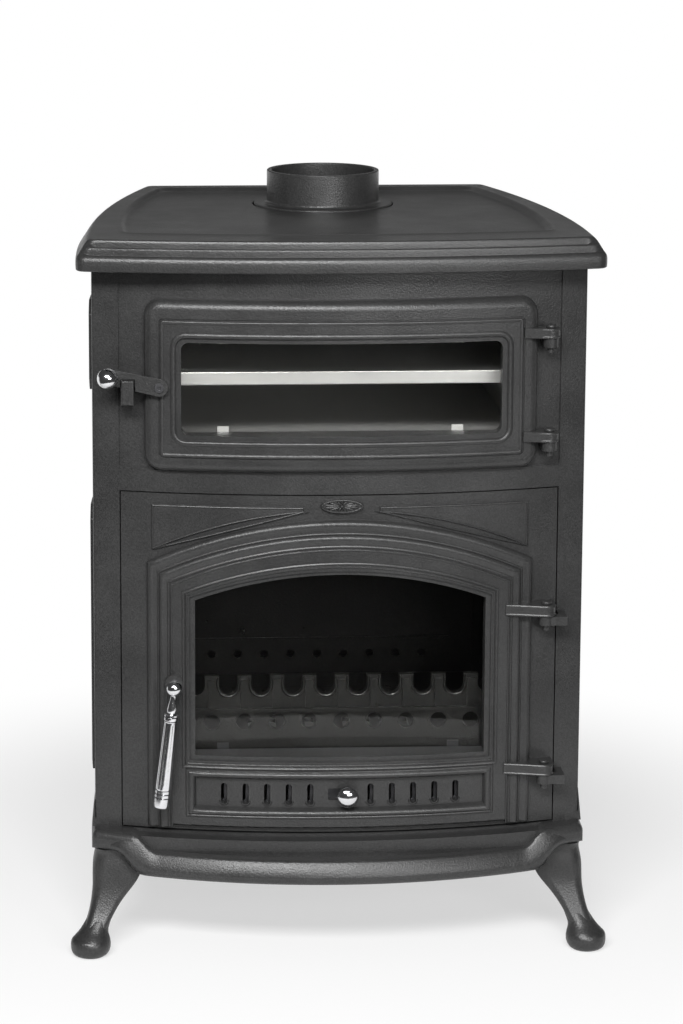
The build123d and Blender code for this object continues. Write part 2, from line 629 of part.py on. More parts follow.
def base_plate():
    """Base casting: a hollow tray with round shoulders, and a rolled apron across the front."""
    band = elevation(apron_band(), y_back=0) + block(-REACH, REACH, 0, REACH, BASE_BOTTOM, CASING_BOTTOM)
    tray = extrude(base_outline(APRON_BOTTOM), CASING_BOTTOM - APRON_BOTTOM) & band
    top_sides = tray.edges().filter_by(
        lambda edge: edge.center().Z > CASING_BOTTOM - 0.01 and 0 < edge.center().Y < BODY_DEPTH
    )
    tray = fillet(front_face(tray).edges() + top_sides, ROLL_R)
    tray += bowed_slab(APRON_HALF_TOP + SWEEP, 0, APRON_LEDGE, APRON_TOP - 6, CASING_BOTTOM - 3)
    tray += bowed_slab(BODY_HALF - SWEEP, 4 * FRAME_WALL, 0, CASING_BOTTOM - BASE_WALL, CASING_BOTTOM)
    tray += base_ears()
    inside = plan(
        BASE_HALF - BASE_RIM, BASE_CORNER_Y + BASE_RIM, BASE_BOW, BASE_REAR_HALF - BASE_RIM,
        BASE_REAR_Y - BASE_RIM, SIDE_SWELL,
    )
    cavity = extrude(inside, CASING_BOTTOM - BASE_WALL)
    tray -= cavity - ahead_of(BASE_WALL - APRON_LEDGE, APRON_TOP - 6 - BASE_WALL, CASING_BOTTOM)
    for x, y in leg_bolt_spots():
        tray += leg_pad(x, y)
    for side in (-1, 1):
        across = sorted((side * LEG_POCKET[0], side * LEG_POCKET[1]))
        tray -= block(*across, LEG_POCKET[2], BODY_DEPTH / 4, APRON_BOTTOM - 1, BASE_BOTTOM)
    for x, y in ROD_SPOTS:
        for side in (-1, 1):
            tray -= upright(side * x, y, 0, CASING_BOTTOM, ROD_R + PIN_FIT)
    for x, y in leg_bolt_spots():
        tray -= upright(x, y, 0, CASING_BOTTOM, LEG_BOLT_R + PIN_FIT)
    return tray


# The right front leg, from the base down: height, the middle's inset from the base's side, its Y, and the size
# across and along.
LEG_SECTIONS = (
    (BASE_BOTTOM, 32.0, 3.0, 60.0, 54.0),
    (108.0, 31.5, 2.0, 61.0, 53.0),
    (96.0, 30.0, -1.0, 60.0, 50.0),
    (82.0, 26.0, -6.0, 52.0, 44.0),
    (68.0, 19.5, -13.0, 41.0, 38.0),
    (54.0, 13.0, -21.5, 33.0, 32.0),
    (40.0, 6.5, -30.0, 29.0, 29.0),
    (26.0, 0.5, -37.0, 28.0, 28.0),
    (14.0, -1.5, -39.5, 30.0, 30.0),
)


def leg():
    """Right front leg: a cabriole column that ends in a round pad foot."""
    rings = []
    for z, inset, y, width, depth in LEG_SECTIONS:
        rings.append(Pos(BASE_HALF - inset, y, z) * RectangleRounded(width, depth, 0.3 * min(width, depth)))
    column = loft(rings)
    sole = FOOT_R * 0.6
    top = FOOT_R * 0.62
    floor = Line((0, 0), (sole, 0))
    bulge = Spline((sole, 0), (FOOT_R, FOOT_H * 0.48), (top, FOOT_H), tangents=[(1, 0.2), (-1, 0.18)])
    dome = ThreePointArc((top, FOOT_H), (top / 2, FOOT_H + 1.4), (0, FOOT_H + 1.8))
    axis = Line((0, FOOT_H + 1.8), (0, 0))
    pad = revolve(Plane.XZ * make_face([floor, bulge, dome, axis]), Axis.Z, 360)
    return column + Pos(FOOT_X, FOOT_Y, 0) * pad


def leg_bolt_spots():
    """Plan places of the bolts that hold the legs."""
    x, y = LEG_BOLT_SPOT
    for side in (-1, 1):
        yield side * x, y
        yield side * (x - REAR_LEG_INSET), REAR_LEG_Y - y


def all_legs():
    """The four legs by name. The rear pair is the front pair turned round to face the back."""
    x, y = LEG_BOLT_SPOT
    right = leg() + block(x - 14, x + 14, 0, y + 14, BASE_BOTTOM - 24, BASE_BOTTOM)
    right -= upright(x, y, BASE_BOTTOM - 20, BASE_BOTTOM, LEG_BOLT_R + PIN_FIT)
    rear = Pos(-REAR_LEG_INSET, REAR_LEG_Y, 0) * mirror(right, Plane.XZ)
    front_right, front_left = both_sides(right)
    rear_right, rear_left = both_sides(rear)
    return {
        "leg_front_right": front_right, "leg_front_left": front_left,
        "leg_rear_right": rear_right, "leg_rear_left": rear_left,
    }


def leg_pad(x, y):
    """Solid corner of the base that a leg bolts up against."""
    toward = -1 if y < BODY_DEPTH / 2 else 1
    out = 1 if x > 0 else -1
    x_range = sorted((x - out * 18, x + out * 30))
    y_range = sorted((y - toward * 14, y + toward * 24))
    return block(*x_range, *y_range, BASE_BOTTOM, CASING_BOTTOM - 1)


def leg_bolts():
    """Bolts from inside the casing, through the base, into the legs."""
    bolts = []
    for x, y in leg_bolt_spots():
        shank = upright(x, y, BASE_BOTTOM - LEG_BOLT_GRIP, CASING_BOTTOM, LEG_BOLT_R)
        bolts.append(shank + extrude(Pos(x, y, CASING_BOTTOM) * RegularPolygon(7.5, 6), 5))
    return bolts


# ---- oven ------------------------------------------------------------------------------------------------------
def oven_box():
    """Sheet-metal oven, open at the front, where it meets the back of the front frame."""
    half, bottom, top = OVEN_BOX
    shell = block(-half, half, -REACH / 4, OVEN_BOX_REAR, bottom, top)
    shell -= block(SHEET - half, half - SHEET, -REACH, OVEN_BOX_REAR - SHEET, bottom + SHEET, top - SHEET)
    return shell - ahead_of(FRAME_WALL + FIT, bottom, top)


def oven_shelf():
    """Sheet shelf with a folded front lip."""
    rear = OVEN_BOX_REAR - 4 * SHEET
    shelf = block(-SHELF_HALF, SHELF_HALF, SHELF_FRONT_Y, rear, SHELF_TOP - SHELF_WALL, SHELF_TOP)
    lip_back = SHELF_FRONT_Y + SHELF_WALL
    lip = block(-SHELF_HALF, SHELF_HALF, SHELF_FRONT_Y, lip_back, SHELF_TOP - SHELF_LIP, SHELF_TOP)
    shelf += lip
    return fillet(shelf.edges().filter_by(Axis.X).group_by(Axis.Y)[0].sort_by(Axis.Z)[-1:], SHELF_WALL * 0.45)


def shelf_rails():
    """Angle rails on both walls of the oven, which the shelf lies on."""
    half = OVEN_BOX[0] - SHEET
    top = SHELF_TOP - SHELF_WALL
    y_min = SHELF_FRONT_Y + 12
    y_max = OVEN_BOX_REAR - 4 * SHEET
    rail = block(half - 12, half, y_min, y_max, top - 2, top)
    rail += block(half - 2, half, y_min, y_max, top - RAIL_H, top)
    return both_sides(rail)


def window_rim(window, seat_y, door_back):
    """Frame behind a door's window, from the bowed door back to a flat seat for the glass."""
    outer = offset(window, WINDOW_RIM, kind=Kind.INTERSECTION)
    rim = elevation(outer - window, -REACH / 8, seat_y)
    return rim - ahead_of(door_back, 0, CASING_TOP)


def glass_pane(window, seat_y):
    """Flat pane that covers the window and half of its rim."""
    pane = offset(window, WINDOW_RIM / 2, kind=Kind.INTERSECTION)
    return elevation(pane, seat_y + SEAL, seat_y + SEAL + GLASS)


def glass_seal(window, seat_y):
    """Flat woven seal between the rim and the glass."""
    outer = offset(window, WINDOW_RIM / 2, kind=Kind.INTERSECTION)
    inner = offset(window, 1, kind=Kind.INTERSECTION)
    return elevation(outer - inner, seat_y, seat_y + SEAL)


def clip(x, z, out, seat_y):
    """Cranked clip at an edge of the glass: out is the way from the pane to the rim, up or down."""
    edge = z + out * (WINDOW_RIM / 2 + 0.4)
    pane_back = seat_y + SEAL + GLASS
    heel = sorted((edge, z + out * (WINDOW_RIM - 0.5)))
    tab = sorted((edge, z - out * 6))
    piece = block(x - CLIP_W / 2, x + CLIP_W / 2, seat_y, pane_back + CLIP_WALL, *heel)
    piece += block(x - CLIP_W / 2, x + CLIP_W / 2, pane_back, pane_back + CLIP_WALL, *tab)
    return piece


def screw_height(z, out):
    """Height of a clip's screw."""
    return z + out * (WINDOW_RIM * 0.75 + 0.2)


def clips(spots, seat_y):
    """Clips with their screw holes."""
    pieces = []
    for x, z, out in spots:
        hole = level(x, screw_height(z, out), seat_y - 1, seat_y + 20, CLIP_SCREW_R + PIN_FIT)
        pieces.append(clip(x, z, out, seat_y) - hole)
    return pieces


def clip_screws(spots, seat_y):
    """Round-headed screws that hold the clips to the rim."""
    screws = []
    face = seat_y + SEAL + GLASS + CLIP_WALL
    for x, z, out in spots:
        height = screw_height(z, out)
        shank = level(x, height, seat_y - 5, face, CLIP_SCREW_R)
        screws.append(shank + level(x, height, face, face + 2, 1.6 * CLIP_SCREW_R))
    return screws


def screw_holes(spots, seat_y):
    """Holes in the rim for the clips' screws."""
    holes = []
    for x, z, out in spots:
        holes.append(level(x, screw_height(z, out), seat_y - 6, seat_y + 1, CLIP_SCREW_R + PIN_FIT))
    return holes


# place across, edge of the window, and the way from the pane to the rim, for the four clips of each pane
OVEN_CLIPS = tuple(
    (side * (OVEN_WINDOW[0] - OVEN_CLIP_INSET), z, out)
    for side in (-1, 1)
    for z, out in ((OVEN_WINDOW[1], -1), (OVEN_WINDOW[2], 1))
)
FIRE_HEAD_R = arc_radius(FIRE_WINDOW[0], FIRE_WINDOW[3] - FIRE_WINDOW[2])
FIRE_CLIP_TOP = FIRE_WINDOW[3] - FIRE_HEAD_R + math.sqrt(FIRE_HEAD_R**2 - FIRE_CLIP_TOP_X**2) + CLIP_RISE
FIRE_CLIPS = tuple(
    (side * x, z, out)
    for side in (-1, 1)
    for x, z, out in (
        (FIRE_WINDOW[0] - FIRE_CLIP_INSET, FIRE_WINDOW[1], -1),
        (FIRE_CLIP_TOP_X, FIRE_CLIP_TOP, 1),
    )
)


def oven_arm(seat):
    """Arm of the oven door that turns on the pin, above its lug."""
    bottom = seat + HINGE_GAP / 2
    start = OVEN_PANEL[0] - 1
    corners = [
        (start, front_y(start, OVEN_DOOR_FRONT) + 6), (start, front_y(start, OVEN_DOOR_FRONT) - 3),
        (PIN_X, PIN_Y - ARM_R), (PIN_X, PIN_Y + ARM_R), (OVEN_DOOR[0] - 2, front_y(OVEN_DOOR[0]) - 3),
    ]
    web = extrude(Pos(0, 0, bottom) * make_face(Polyline(*corners, close=True)), OVEN_ARM_H)
    return web + upright(PIN_X, PIN_Y, bottom, bottom + OVEN_ARM_H, ARM_R)


def oven_door():
    """Oven door casting: rolled border, flat panel, window and its rim, two hinge arms."""
    back = FIT - OVEN_RECESS_DEPTH
    slab = elevation(rounded(*OVEN_DOOR)) & bowed_slab(BODY_HALF, -back, OVEN_DOOR_FRONT, 0, CASING_TOP)
    slab = fillet(front_face(slab).edges(), OVEN_ROLL_R)
    half, bottom, top, radius = OVEN_PANEL
    inner = rounded(half - OVEN_GROOVE, bottom + OVEN_GROOVE, top - OVEN_GROOVE, radius)
    slab -= elevation(rounded(*OVEN_PANEL) - inner) & ahead_of(-OVEN_DOOR_FRONT + OVEN_GROOVE, 0, CASING_TOP)
    slab -= elevation(rounded(*OVEN_BEVEL)) & ahead_of(-OVEN_DOOR_FRONT + OVEN_BEVEL_DEPTH, 0, CASING_TOP)
    slab -= elevation(rounded(*OVEN_WINDOW))
    slab += window_rim(rounded(*OVEN_WINDOW), OVEN_SEAT_Y, -back - 1)
    for seat in OVEN_SEATS:
        slab += oven_arm(seat)
        slab -= upright(PIN_X, PIN_Y, seat - 1, seat + 2 * OVEN_ARM_H, PIN_R + PIN_FIT)
    boss = level(LATCH_X, LATCH_Z, LATCH_BACK_Y + 0.3, front_y(LATCH_X), LATCH_END_R - 1)
    slab += boss
    slab -= level(LATCH_X, LATCH_Z, LATCH_BACK_Y - 1, front_y(LATCH_X), LATCH_SCREW_R + PIN_FIT)
    for hole in screw_holes(OVEN_CLIPS, OVEN_SEAT_Y):
        slab -= hole
    return slab


def hinge_pins(seats, arm_h):
    """Upright pins, each with a domed head over its arm and a tail under its lug."""
    pins = []
    for seat in seats:
        top = seat + HINGE_GAP / 2 + arm_h + 0.3
        bottom = seat - HINGE_GAP / 2 - LUG_H - 7
        head = upright(PIN_X, PIN_Y, top, top + 4, 1.6 * PIN_R)
        head = fillet(head.edges().group_by(Axis.Z)[-1], 2.5)
        pins.append(upright(PIN_X, PIN_Y, bottom, top, PIN_R) + head)
    return pins


# ---- oven latch ------------------------------------------------------------------------------------------------
def latch_tip():
    """Front-view place of the knob on the latch lever."""
    tilt = math.radians(LATCH_TILT)
    return LATCH_X - LATCH_REACH * math.cos(tilt), LATCH_Z + LATCH_REACH * math.sin(tilt)


def latch_lever():
    """Flat lever with a notch that drops over the keeper."""
    tip_x, tip_z = latch_tip()
    outline = make_hull(
        (Pos(LATCH_X, LATCH_Z) * Circle(LATCH_END_R)).edges() + (Pos(tip_x, tip_z) * Circle(LATCH_TIP_R)).edges()
    )
    x_min, x_max, z_min, z_max = KEEPER
    notch_w = x_max - x_min + 2 * NOTCH_GAP
    notch = Pos((x_min + x_max) / 2, z_min) * Rectangle(notch_w, 2 * (z_max - z_min + NOTCH_GAP))
    lever = elevation(outline - notch, LATCH_BACK_Y - LATCH_WALL, LATCH_BACK_Y)
    lever -= level(LATCH_X, LATCH_Z, LATCH_BACK_Y - REACH / 8, LATCH_BACK_Y, LATCH_SCREW_R + PIN_FIT)
    stud_back = LATCH_BACK_Y - LATCH_WALL
    return lever + level(tip_x, tip_z, stud_back - 12, stud_back + 1, 3)


def latch_knob():
    """Ball knob on the lever's stud."""
    tip_x, tip_z = latch_tip()
    face = LATCH_BACK_Y - LATCH_WALL
    middle = face - LATCH_BALL_R + 1.5
    ball = Pos(tip_x, middle, tip_z) * Sphere(LATCH_BALL_R)
    ball += level(tip_x, tip_z, middle, face - 0.1, 6)
    ball -= block(tip_x - 20, tip_x + 20, face - 0.05, face + 20, tip_z - 20, tip_z + 20)
    return ball - level(tip_x, tip_z, face - 12.5, face, 3 + PIN_FIT)


def latch_screw():
    """Shoulder screw that the lever turns on, with a socket in its head."""
    face = LATCH_BACK_Y - LATCH_WALL - 0.2
    screw = level(LATCH_X, LATCH_Z, face, front_y(LATCH_X) - 2, LATCH_SCREW_R)
    screw += level(LATCH_X, LATCH_Z, face - 2.5, face, 1.4 * LATCH_SCREW_R)
    socket = Pos(LATCH_X, LATCH_Z) * RegularPolygon(2.5, 6)
    return screw - elevation(socket, face - 3, face - 0.8)


def latch_keeper():
    """Block on the frame that fills the lever's notch."""
    x_min, x_max, z_min, z_max = KEEPER
    keeper = block(x_min, x_max, KEEPER_FRONT_Y, 0, z_min, z_max)
    keeper = fillet(keeper.edges().group_by(Axis.Y)[0], 2)
    keeper -= bowed_slab(BODY_HALF, FRAME_WALL, 0.05 - OVEN_RECESS_DEPTH, z_min, z_max)
    return keeper - level(
        (x_min + x_max) / 2, (z_min + z_max) / 2, KEEPER_FRONT_Y + 12, 0, CLIP_SCREW_R + PIN_FIT
    )


def keeper_screw():
    """Screw from behind the frame into the keeper."""
    x_min, x_max, z_min, z_max = KEEPER
    x, z = (x_min + x_max) / 2, (z_min + z_max) / 2
    behind = front_y(x, -FRAME_WALL) + 1.2
    return level(x, z, KEEPER_FRONT_Y + 13, behind, CLIP_SCREW_R) + level(x, z, behind, behind + 3, 4)


# ---- fire door -------------------------------------------------------------------------------------------------
def fire_arm(seat):
    """Arm of the fire door: a web in plan from the arch's border to the pin."""
    bottom = seat + HINGE_GAP / 2
    start = ARCH_STEPS[-1][0] - 4
    edge = PIN_X + ARM_R
    corners = [
        (start, front_y(start) + 2), (start, front_y(start, ARCH_STEPS[-1][4]) - 2), (PIN_X, PIN_Y - ARM_R),
        (edge, PIN_Y), (edge, front_y(edge) + 2), (ARCH_STEPS[0][0], front_y(ARCH_STEPS[0][0]) + 2),
    ]
    web = extrude(Pos(0, 0, bottom) * make_face(Polyline(*corners, close=True)), FIRE_ARM_H)
    return web + upright(PIN_X, PIN_Y, bottom, bottom + FIRE_ARM_H, ARM_R)


def spandrel(side):
    """Front-view outline of the raised panel between the arch and a top corner of the door."""
    half, _, spring, crown, _, _ = ARCH_STEPS[0]
    radius = arc_radius(half, crown - spring)
    middle = side * (SPANDREL_HALF + SPANDREL_TIP) / 2
    corner = Pos(middle, SPANDREL_TOP - SPANDREL_H / 2) * Rectangle(SPANDREL_HALF - SPANDREL_TIP, SPANDREL_H)
    outline = corner - Pos(0, crown - radius) * Circle(radius + SPANDREL_MARGIN)
    return outline


def rosette():
    """Cast oval rosette with rays cut between its petals."""
    oval = Pos(0, ROSETTE_Z) * Ellipse(ROSETTE_HALF_W, ROSETTE_HALF_H)
    flower = raised(oval, 1, ROSETTE_HEIGHT, 1.5)
    for ray in range(ROSETTE_RAYS):
        turn = 180 / ROSETTE_RAYS * (ray + 0.5)
        line = Pos(0, ROSETTE_Z) * Rot(0, 0, turn) * Rectangle(3 * ROSETTE_HALF_W, 1.2)
        flower -= elevation(line) & ahead_of(-1, 0, CASING_TOP)
    return flower


def slot_centres():
    """X of each air slot, from the middle outwards on both sides."""
    for number in range(SLOTS_EACH_SIDE):
        for side in (-1, 1):
            yield side * (SLOT_FIRST + number * SLOT_PITCH)


def air_slots(shift):
    """Prisms of all the air slots, moved sideways together."""
    slots = []
    for x in slot_centres():
        outline = Pos(x + shift, SLOT_Z) * Rot(0, 0, 90) * SlotOverall(SLOT_H, SLOT_W)
        slots.append(elevation(outline))
    return slots


def hinge_bevel():
    """What is cut from the back of the door beside the hinges, so that its edge swings clear of the frame."""
    inner = PIN_X - HINGE_BEVEL_RUN
    outer = DOOR_HALF + DOOR_GAP
    corners = [
        (outer, front_y(DOOR_HALF, HINGE_BEVEL_EDGE - DOOR_WALL)), (outer, BODY_BOW), (inner, BODY_BOW),
        (inner, front_y(inner, -DOOR_WALL)),
    ]
    return extrude(Pos(0, 0, DOOR_BOTTOM) * make_face(Polyline(*corners, close=True)), DOOR_TOP - DOOR_BOTTOM)


def fire_door():
    """Fire door casting: arched steps, raised corners, rosette, window and rim, air vents, hinge arms."""
    door = bowed_slab(DOOR_HALF, DOOR_WALL, 0, DOOR_BOTTOM, DOOR_TOP) - hinge_bevel()
    for side in (-1, 1):
        door += raised(spandrel(side), 1, SPANDREL_HEIGHT, SPANDREL_EDGE_R)
    base = -1.0
    for half, bottom, spring, crown, height, edge_r in ARCH_STEPS:
        door += raised(arched(half, bottom, spring, crown), -base, height, edge_r)
        base = height - 1.0
    door += rosette()
    crest = ARCH_STEPS[-1][4]
    door += raised(rounded(*VENT_BORDER), -base, VENT_BEAD, 1.8)
    door -= elevation(rounded(*VENT_FIELD)) & ahead_of(-VENT_FLOOR, 0, CASING_TOP)
    door -= elevation(arched(*FIRE_BEVEL)) & ahead_of(FIRE_BEVEL_DEPTH - crest, 0, CASING_TOP)
    door -= elevation(arched(*FIRE_WINDOW))
    door += window_rim(arched(*FIRE_WINDOW), FIRE_SEAT_Y, DOOR_WALL - 1)
    for slot in air_slots(0):
        door -= slot
    door -= elevation(Pos(0, SLOT_Z) * RectangleRounded(2 * GUIDE_SLOT_HALF, GUIDE_SLOT_H, 2))
    for seat in FIRE_SEATS:
        door += fire_arm(seat)
        door -= upright(PIN_X, PIN_Y, seat - 1, seat + 2 * FIRE_ARM_H, PIN_R + PIN_FIT)
    boss_y = front_y(HANDLE_X, BOSS_FRONT)
    door += level(HANDLE_X, HANDLE_Z, boss_y, front_y(HANDLE_X) + 2, BOSS_R)
    door -= level(HANDLE_X, HANDLE_Z, boss_y - 1, REACH / 8, SPINDLE_R + PIN_FIT)
    for hole in screw_holes(FIRE_CLIPS, FIRE_SEAT_Y):
        door -= hole
    return door


def door_rope():
    """Rope seal on the back of the fire door, which meets the frame all round the opening."""
    half, bottom, top, radius = FIRE_OPENING
    outer = rounded(half + 22, bottom - 12, top + 22, radius + 12)
    inner = rounded(half + 12, bottom - 4, top + 12, radius + 4)
    return elevation(outer - inner) & bowed_slab(BODY_HALF, DOOR_SEAT - 0.3, -DOOR_WALL, 0, CASING_TOP)


def handle_profile():
    """Half outline of the hanging handle, down from the middle of its ball."""
    length = HANDLE_LENGTH
    points = [
        (0, -7), (4.2, -7), (3.4, -12), (4.6, -22), (5.6, -32), (8.6, -32), (8.6, -35), (8.0, -36), (8.6, -37),
        (8.6, -41.5), (7.2, -41.5), (8.6, 18 - length), (9.2, 17.5 - length), (9.2, 13.5 - length),
        (8.7, 13 - length), (9.2, 12.5 - length), (9.2, 8.5 - length), (8.8, 8 - length), (8.8, 1 - length),
        (7.6, -length), (0, -length),
    ]
    return make_face(Polyline(*points, close=True))


def fire_handle():
    """Turned handle that hangs from the ball on the spindle."""
    shape = revolve(Plane.XZ * handle_profile(), Axis.Z, 360)
    turned = Rot(0, HANDLE_TILT, 0) * shape
    handle = Pos(HANDLE_X, HANDLE_BALL_Y, HANDLE_Z) * turned
    handle += Pos(HANDLE_X, HANDLE_BALL_Y, HANDLE_Z) * Sphere(HANDLE_BALL_R)
    neck_back = front_y(HANDLE_X, BOSS_FRONT) - 0.4
    handle += level(HANDLE_X, HANDLE_Z, HANDLE_BALL_Y, neck_back, 7)
    return handle - level(HANDLE_X, HANDLE_Z, HANDLE_BALL_Y - 2, 0, SPINDLE_R + PIN_FIT)


def handle_spindle():
    """Spindle through the door, with a square end for the cam."""
    spindle = level(HANDLE_X, HANDLE_Z, HANDLE_BALL_Y - 2, CAM_Y - 0.3, SPINDLE_R)
    square = Pos(HANDLE_X, HANDLE_Z) * Rectangle(6, 6)
    spindle += elevation(square, CAM_Y - 1, CAM_Y + CAM_WALL)
    return spindle + level(HANDLE_X, HANDLE_Z, CAM_Y + CAM_WALL - 0.1, CAM_Y + CAM_WALL + 8, 3)


def latch_cam():
    """Cam that turns behind the frame; it hangs clear of the frame while the handle hangs down."""
    nose = Pos(HANDLE_X, HANDLE_Z - CAM_REACH / 2) * Rectangle(2 * CAM_HALF_W, CAM_REACH)
    outline = nose + Pos(HANDLE_X, HANDLE_Z) * Circle(CAM_HALF_W)
    hole = Pos(HANDLE_X, HANDLE_Z) * Rectangle(6.1, 6.1)
    return elevation(outline - hole, CAM_Y, CAM_Y + CAM_WALL)


def cam_nut():
    """Nut that holds the cam on the spindle."""
    face = CAM_Y + CAM_WALL
    nut = elevation(Pos(HANDLE_X, HANDLE_Z) * RegularPolygon(6.5, 6), face, face + 5)
    return nut - level(HANDLE_X, HANDLE_Z, face - 1, face + 6, 3 + PIN_FIT)


def air_slide():
    """Bowed plate behind the vents, whose own slots open or close them."""
    front = -DOOR_WALL - SLIDE_CLEAR
    slide = bowed_slab(SLIDE_HALF, SLIDE_WALL - front, front, SLOT_Z - SLIDE_HALF_H, SLOT_Z + SLIDE_HALF_H)
    for slot in air_slots(SLIDE_SHIFT):
        slide -= slot
    return slide - level(AIR_KNOB_X, SLOT_Z, -REACH / 8, 0, 2.5 + PIN_FIT)


def air_knob():
    """Turned mushroom knob; its stud runs in the middle slot and screws into the slide."""
    surface = front_y(AIR_KNOB_X, VENT_FLOOR)
    slide_back = front_y(AIR_KNOB_X, -DOOR_WALL - SLIDE_CLEAR - SLIDE_WALL)
    slide_front = slide_back - SLIDE_WALL
    face = surface - 20
    points = [
        (0, 0), (9.5, 0), (12.6, 1.6), (AIR_KNOB_R, 4.5), (12.4, 7.4), (8.0, 9.0), (5.4, 11.5), (5.4, 15.5),
        (7.6, 17.6), (7.6, 19.4), (AIR_STUD_R, 19.4), (AIR_STUD_R, slide_front - face - 0.3),
        (2.5, slide_front - face - 0.3), (2.5, slide_back - face), (0, slide_back - face),
    ]
    half = make_face(Polyline(*points, close=True))
    turned = revolve(Plane.XY * half, Axis.Y, 360)
    return Pos(AIR_KNOB_X, face, SLOT_Z) * turned


def slide_guides():
    """Frame on the back of the door that holds the slide above and below, with a stop at each end."""
    back = DOOR_WALL + SLIDE_WALL + 2 * SLIDE_CLEAR
    half = SLIDE_HALF + GUIDE_END
    opening = SLIDE_HALF_H + SLIDE_CLEAR
    frame = bowed_slab(half, back + 2, -DOOR_WALL, SLOT_Z - opening - 5, SLOT_Z + opening + 5)
    left = SLIDE_TRAVEL[0] - SLIDE_CLEAR - SLIDE_HALF
    right = SLIDE_TRAVEL[1] + SLIDE_CLEAR + SLIDE_HALF
    frame -= block(left, right, -REACH, REACH, SLOT_Z - opening + 4, SLOT_Z + opening - 4)
    channel = bowed_slab(half, back, -DOOR_WALL + 1, SLOT_Z - opening, SLOT_Z + opening)
    return frame - (channel & block(left, right, -REACH, REACH, SLOT_Z - opening, SLOT_Z + opening))


# ---- firebox ---------------------------------------------------------------------------------------------------
def side_liner():
    """Right liner plate, parallel to the swelled side of the casing."""
    outer = casing_block(-LINER_INSET, HEARTH_Z, LINER_TOP)
    ring = outer - casing_block(-LINER_INSET - LINER_WALL, HEARTH_Z, LINER_TOP)
    span = block(PANEL_WALL, REACH, 60, REAR_LINER_Y - 0.5, HEARTH_Z, LINER_TOP)
    return ring & span


def rear_liner():
    """Rear liner plate with a row of air holes low down and a cast line above them."""
    outer = casing_block(-LINER_INSET, HEARTH_Z, LINER_TOP)
    plate = outer & block(-REACH, REACH, REAR_LINER_Y, REAR_LINER_Y + LINER_WALL, HEARTH_Z, LINER_TOP)
    for number in range(-AIR_HOLES_EACH_SIDE, AIR_HOLES_EACH_SIDE + 1):
        plate -= level(number * AIR_HOLE_PITCH, AIR_HOLE_Z, REAR_LINER_Y - 1, REAR_LINER_Y + 20, AIR_HOLE_R)
    line_z = AIR_HOLE_Z + 20
    return plate + block(-180, 180, REAR_LINER_Y - 2, REAR_LINER_Y + 1, line_z, line_z + 3)


def hearth_plate():
    """Floor of the firebox, with a rebate for the grate."""
    bottom = HEARTH_Z - HEARTH_WALL
    span = block(-REACH, REACH, -REACH / 4, REAR_LINER_Y + LINER_WALL, bottom, HEARTH_Z)
    plate = (casing_block(-LINER_INSET + 8, bottom, HEARTH_Z) & span) - ahead_of(FRAME_WALL + 1, bottom, HEARTH_Z)
    plate -= block(-GRATE_HALF, GRATE_HALF, GRATE_FRONT_Y, GRATE_REAR_Y, HEARTH_Z - GRATE_WALL, HEARTH_Z)
    rebate = GRATE_REBATE
    plate -= block(
        rebate - GRATE_HALF, GRATE_HALF - rebate, GRATE_FRONT_Y + rebate, GRATE_REAR_Y - rebate, bottom, HEARTH_Z
    )
    for side in (-1, 1):
        x, y = ROD_SPOTS[0]
        plate -= upright(side * x, y, bottom, HEARTH_Z, 2 * ROD_R)
    return plate


def fire_grate():
    """Slotted grate that drops into the hearth plate."""
    gap = 0.5
    y_min, y_max = GRATE_FRONT_Y + gap, GRATE_REAR_Y - gap
    grate = block(gap - GRATE_HALF, GRATE_HALF - gap, y_min, y_max, HEARTH_Z - GRATE_WALL, HEARTH_Z)
    pitch = 2 * (GRATE_HALF - GRATE_REBATE) / GRATE_SLOTS
    middle_y = (y_min + y_max) / 2
    for number in range(GRATE_SLOTS):
        x = (number - (GRATE_SLOTS - 1) / 2) * pitch
        for side in (-1, 1):
            slot = Rot(0, 0, 90) * SlotOverall((y_max - y_min) / 2 - 22, GRATE_SLOT_W)
            spot = Pos(x, middle_y + side * (y_max - y_min) / 4, HEARTH_Z - GRATE_WALL - 1)
            grate -= extrude(spot * slot, GRATE_WALL + 2)
    return grate


def log_guard():
    """Guard that keeps the logs off the glass: posts above a ledge, and a pierced plate below it."""
    half = FIRE_OPENING[0] - 8
    guard = block(-half, half, GUARD_Y, GUARD_Y + GUARD_WALL, HEARTH_Z, GUARD_TOP)
    guard += block(-half, half, GUARD_Y - 6, GUARD_Y + GUARD_WALL, GUARD_LEDGE_Z - 4, GUARD_LEDGE_Z)
    count = GUARD_POSTS // 2
    notch_w = GUARD_PITCH - GUARD_POST_W
    notch_h = 2 * (GUARD_TOP - GUARD_NOTCH_BOTTOM)
    for number in range(-count - 1, count + 1):
        x = GUARD_SHIFT + (number + 0.5) * GUARD_PITCH
        notch = Pos(x, GUARD_NOTCH_BOTTOM + notch_w / 2) * Circle(notch_w / 2)
        notch += Pos(x, GUARD_NOTCH_BOTTOM + (notch_w + notch_h) / 2) * Rectangle(notch_w, notch_h)
        guard -= elevation(notch)
    for number in range(-count, count + 1):
        x = GUARD_SHIFT + number * GUARD_PITCH
        guard -= level(x, GUARD_HOLE_Z, -REACH / 8, REACH / 4, GUARD_HOLE_R)
        rib_w = GUARD_POST_W * 0.55
        guard += block(
            x - rib_w / 2, x + rib_w / 2, GUARD_Y - 3, GUARD_Y + 1, GUARD_LEDGE_Z, GUARD_TOP - 5
        )
    return guard


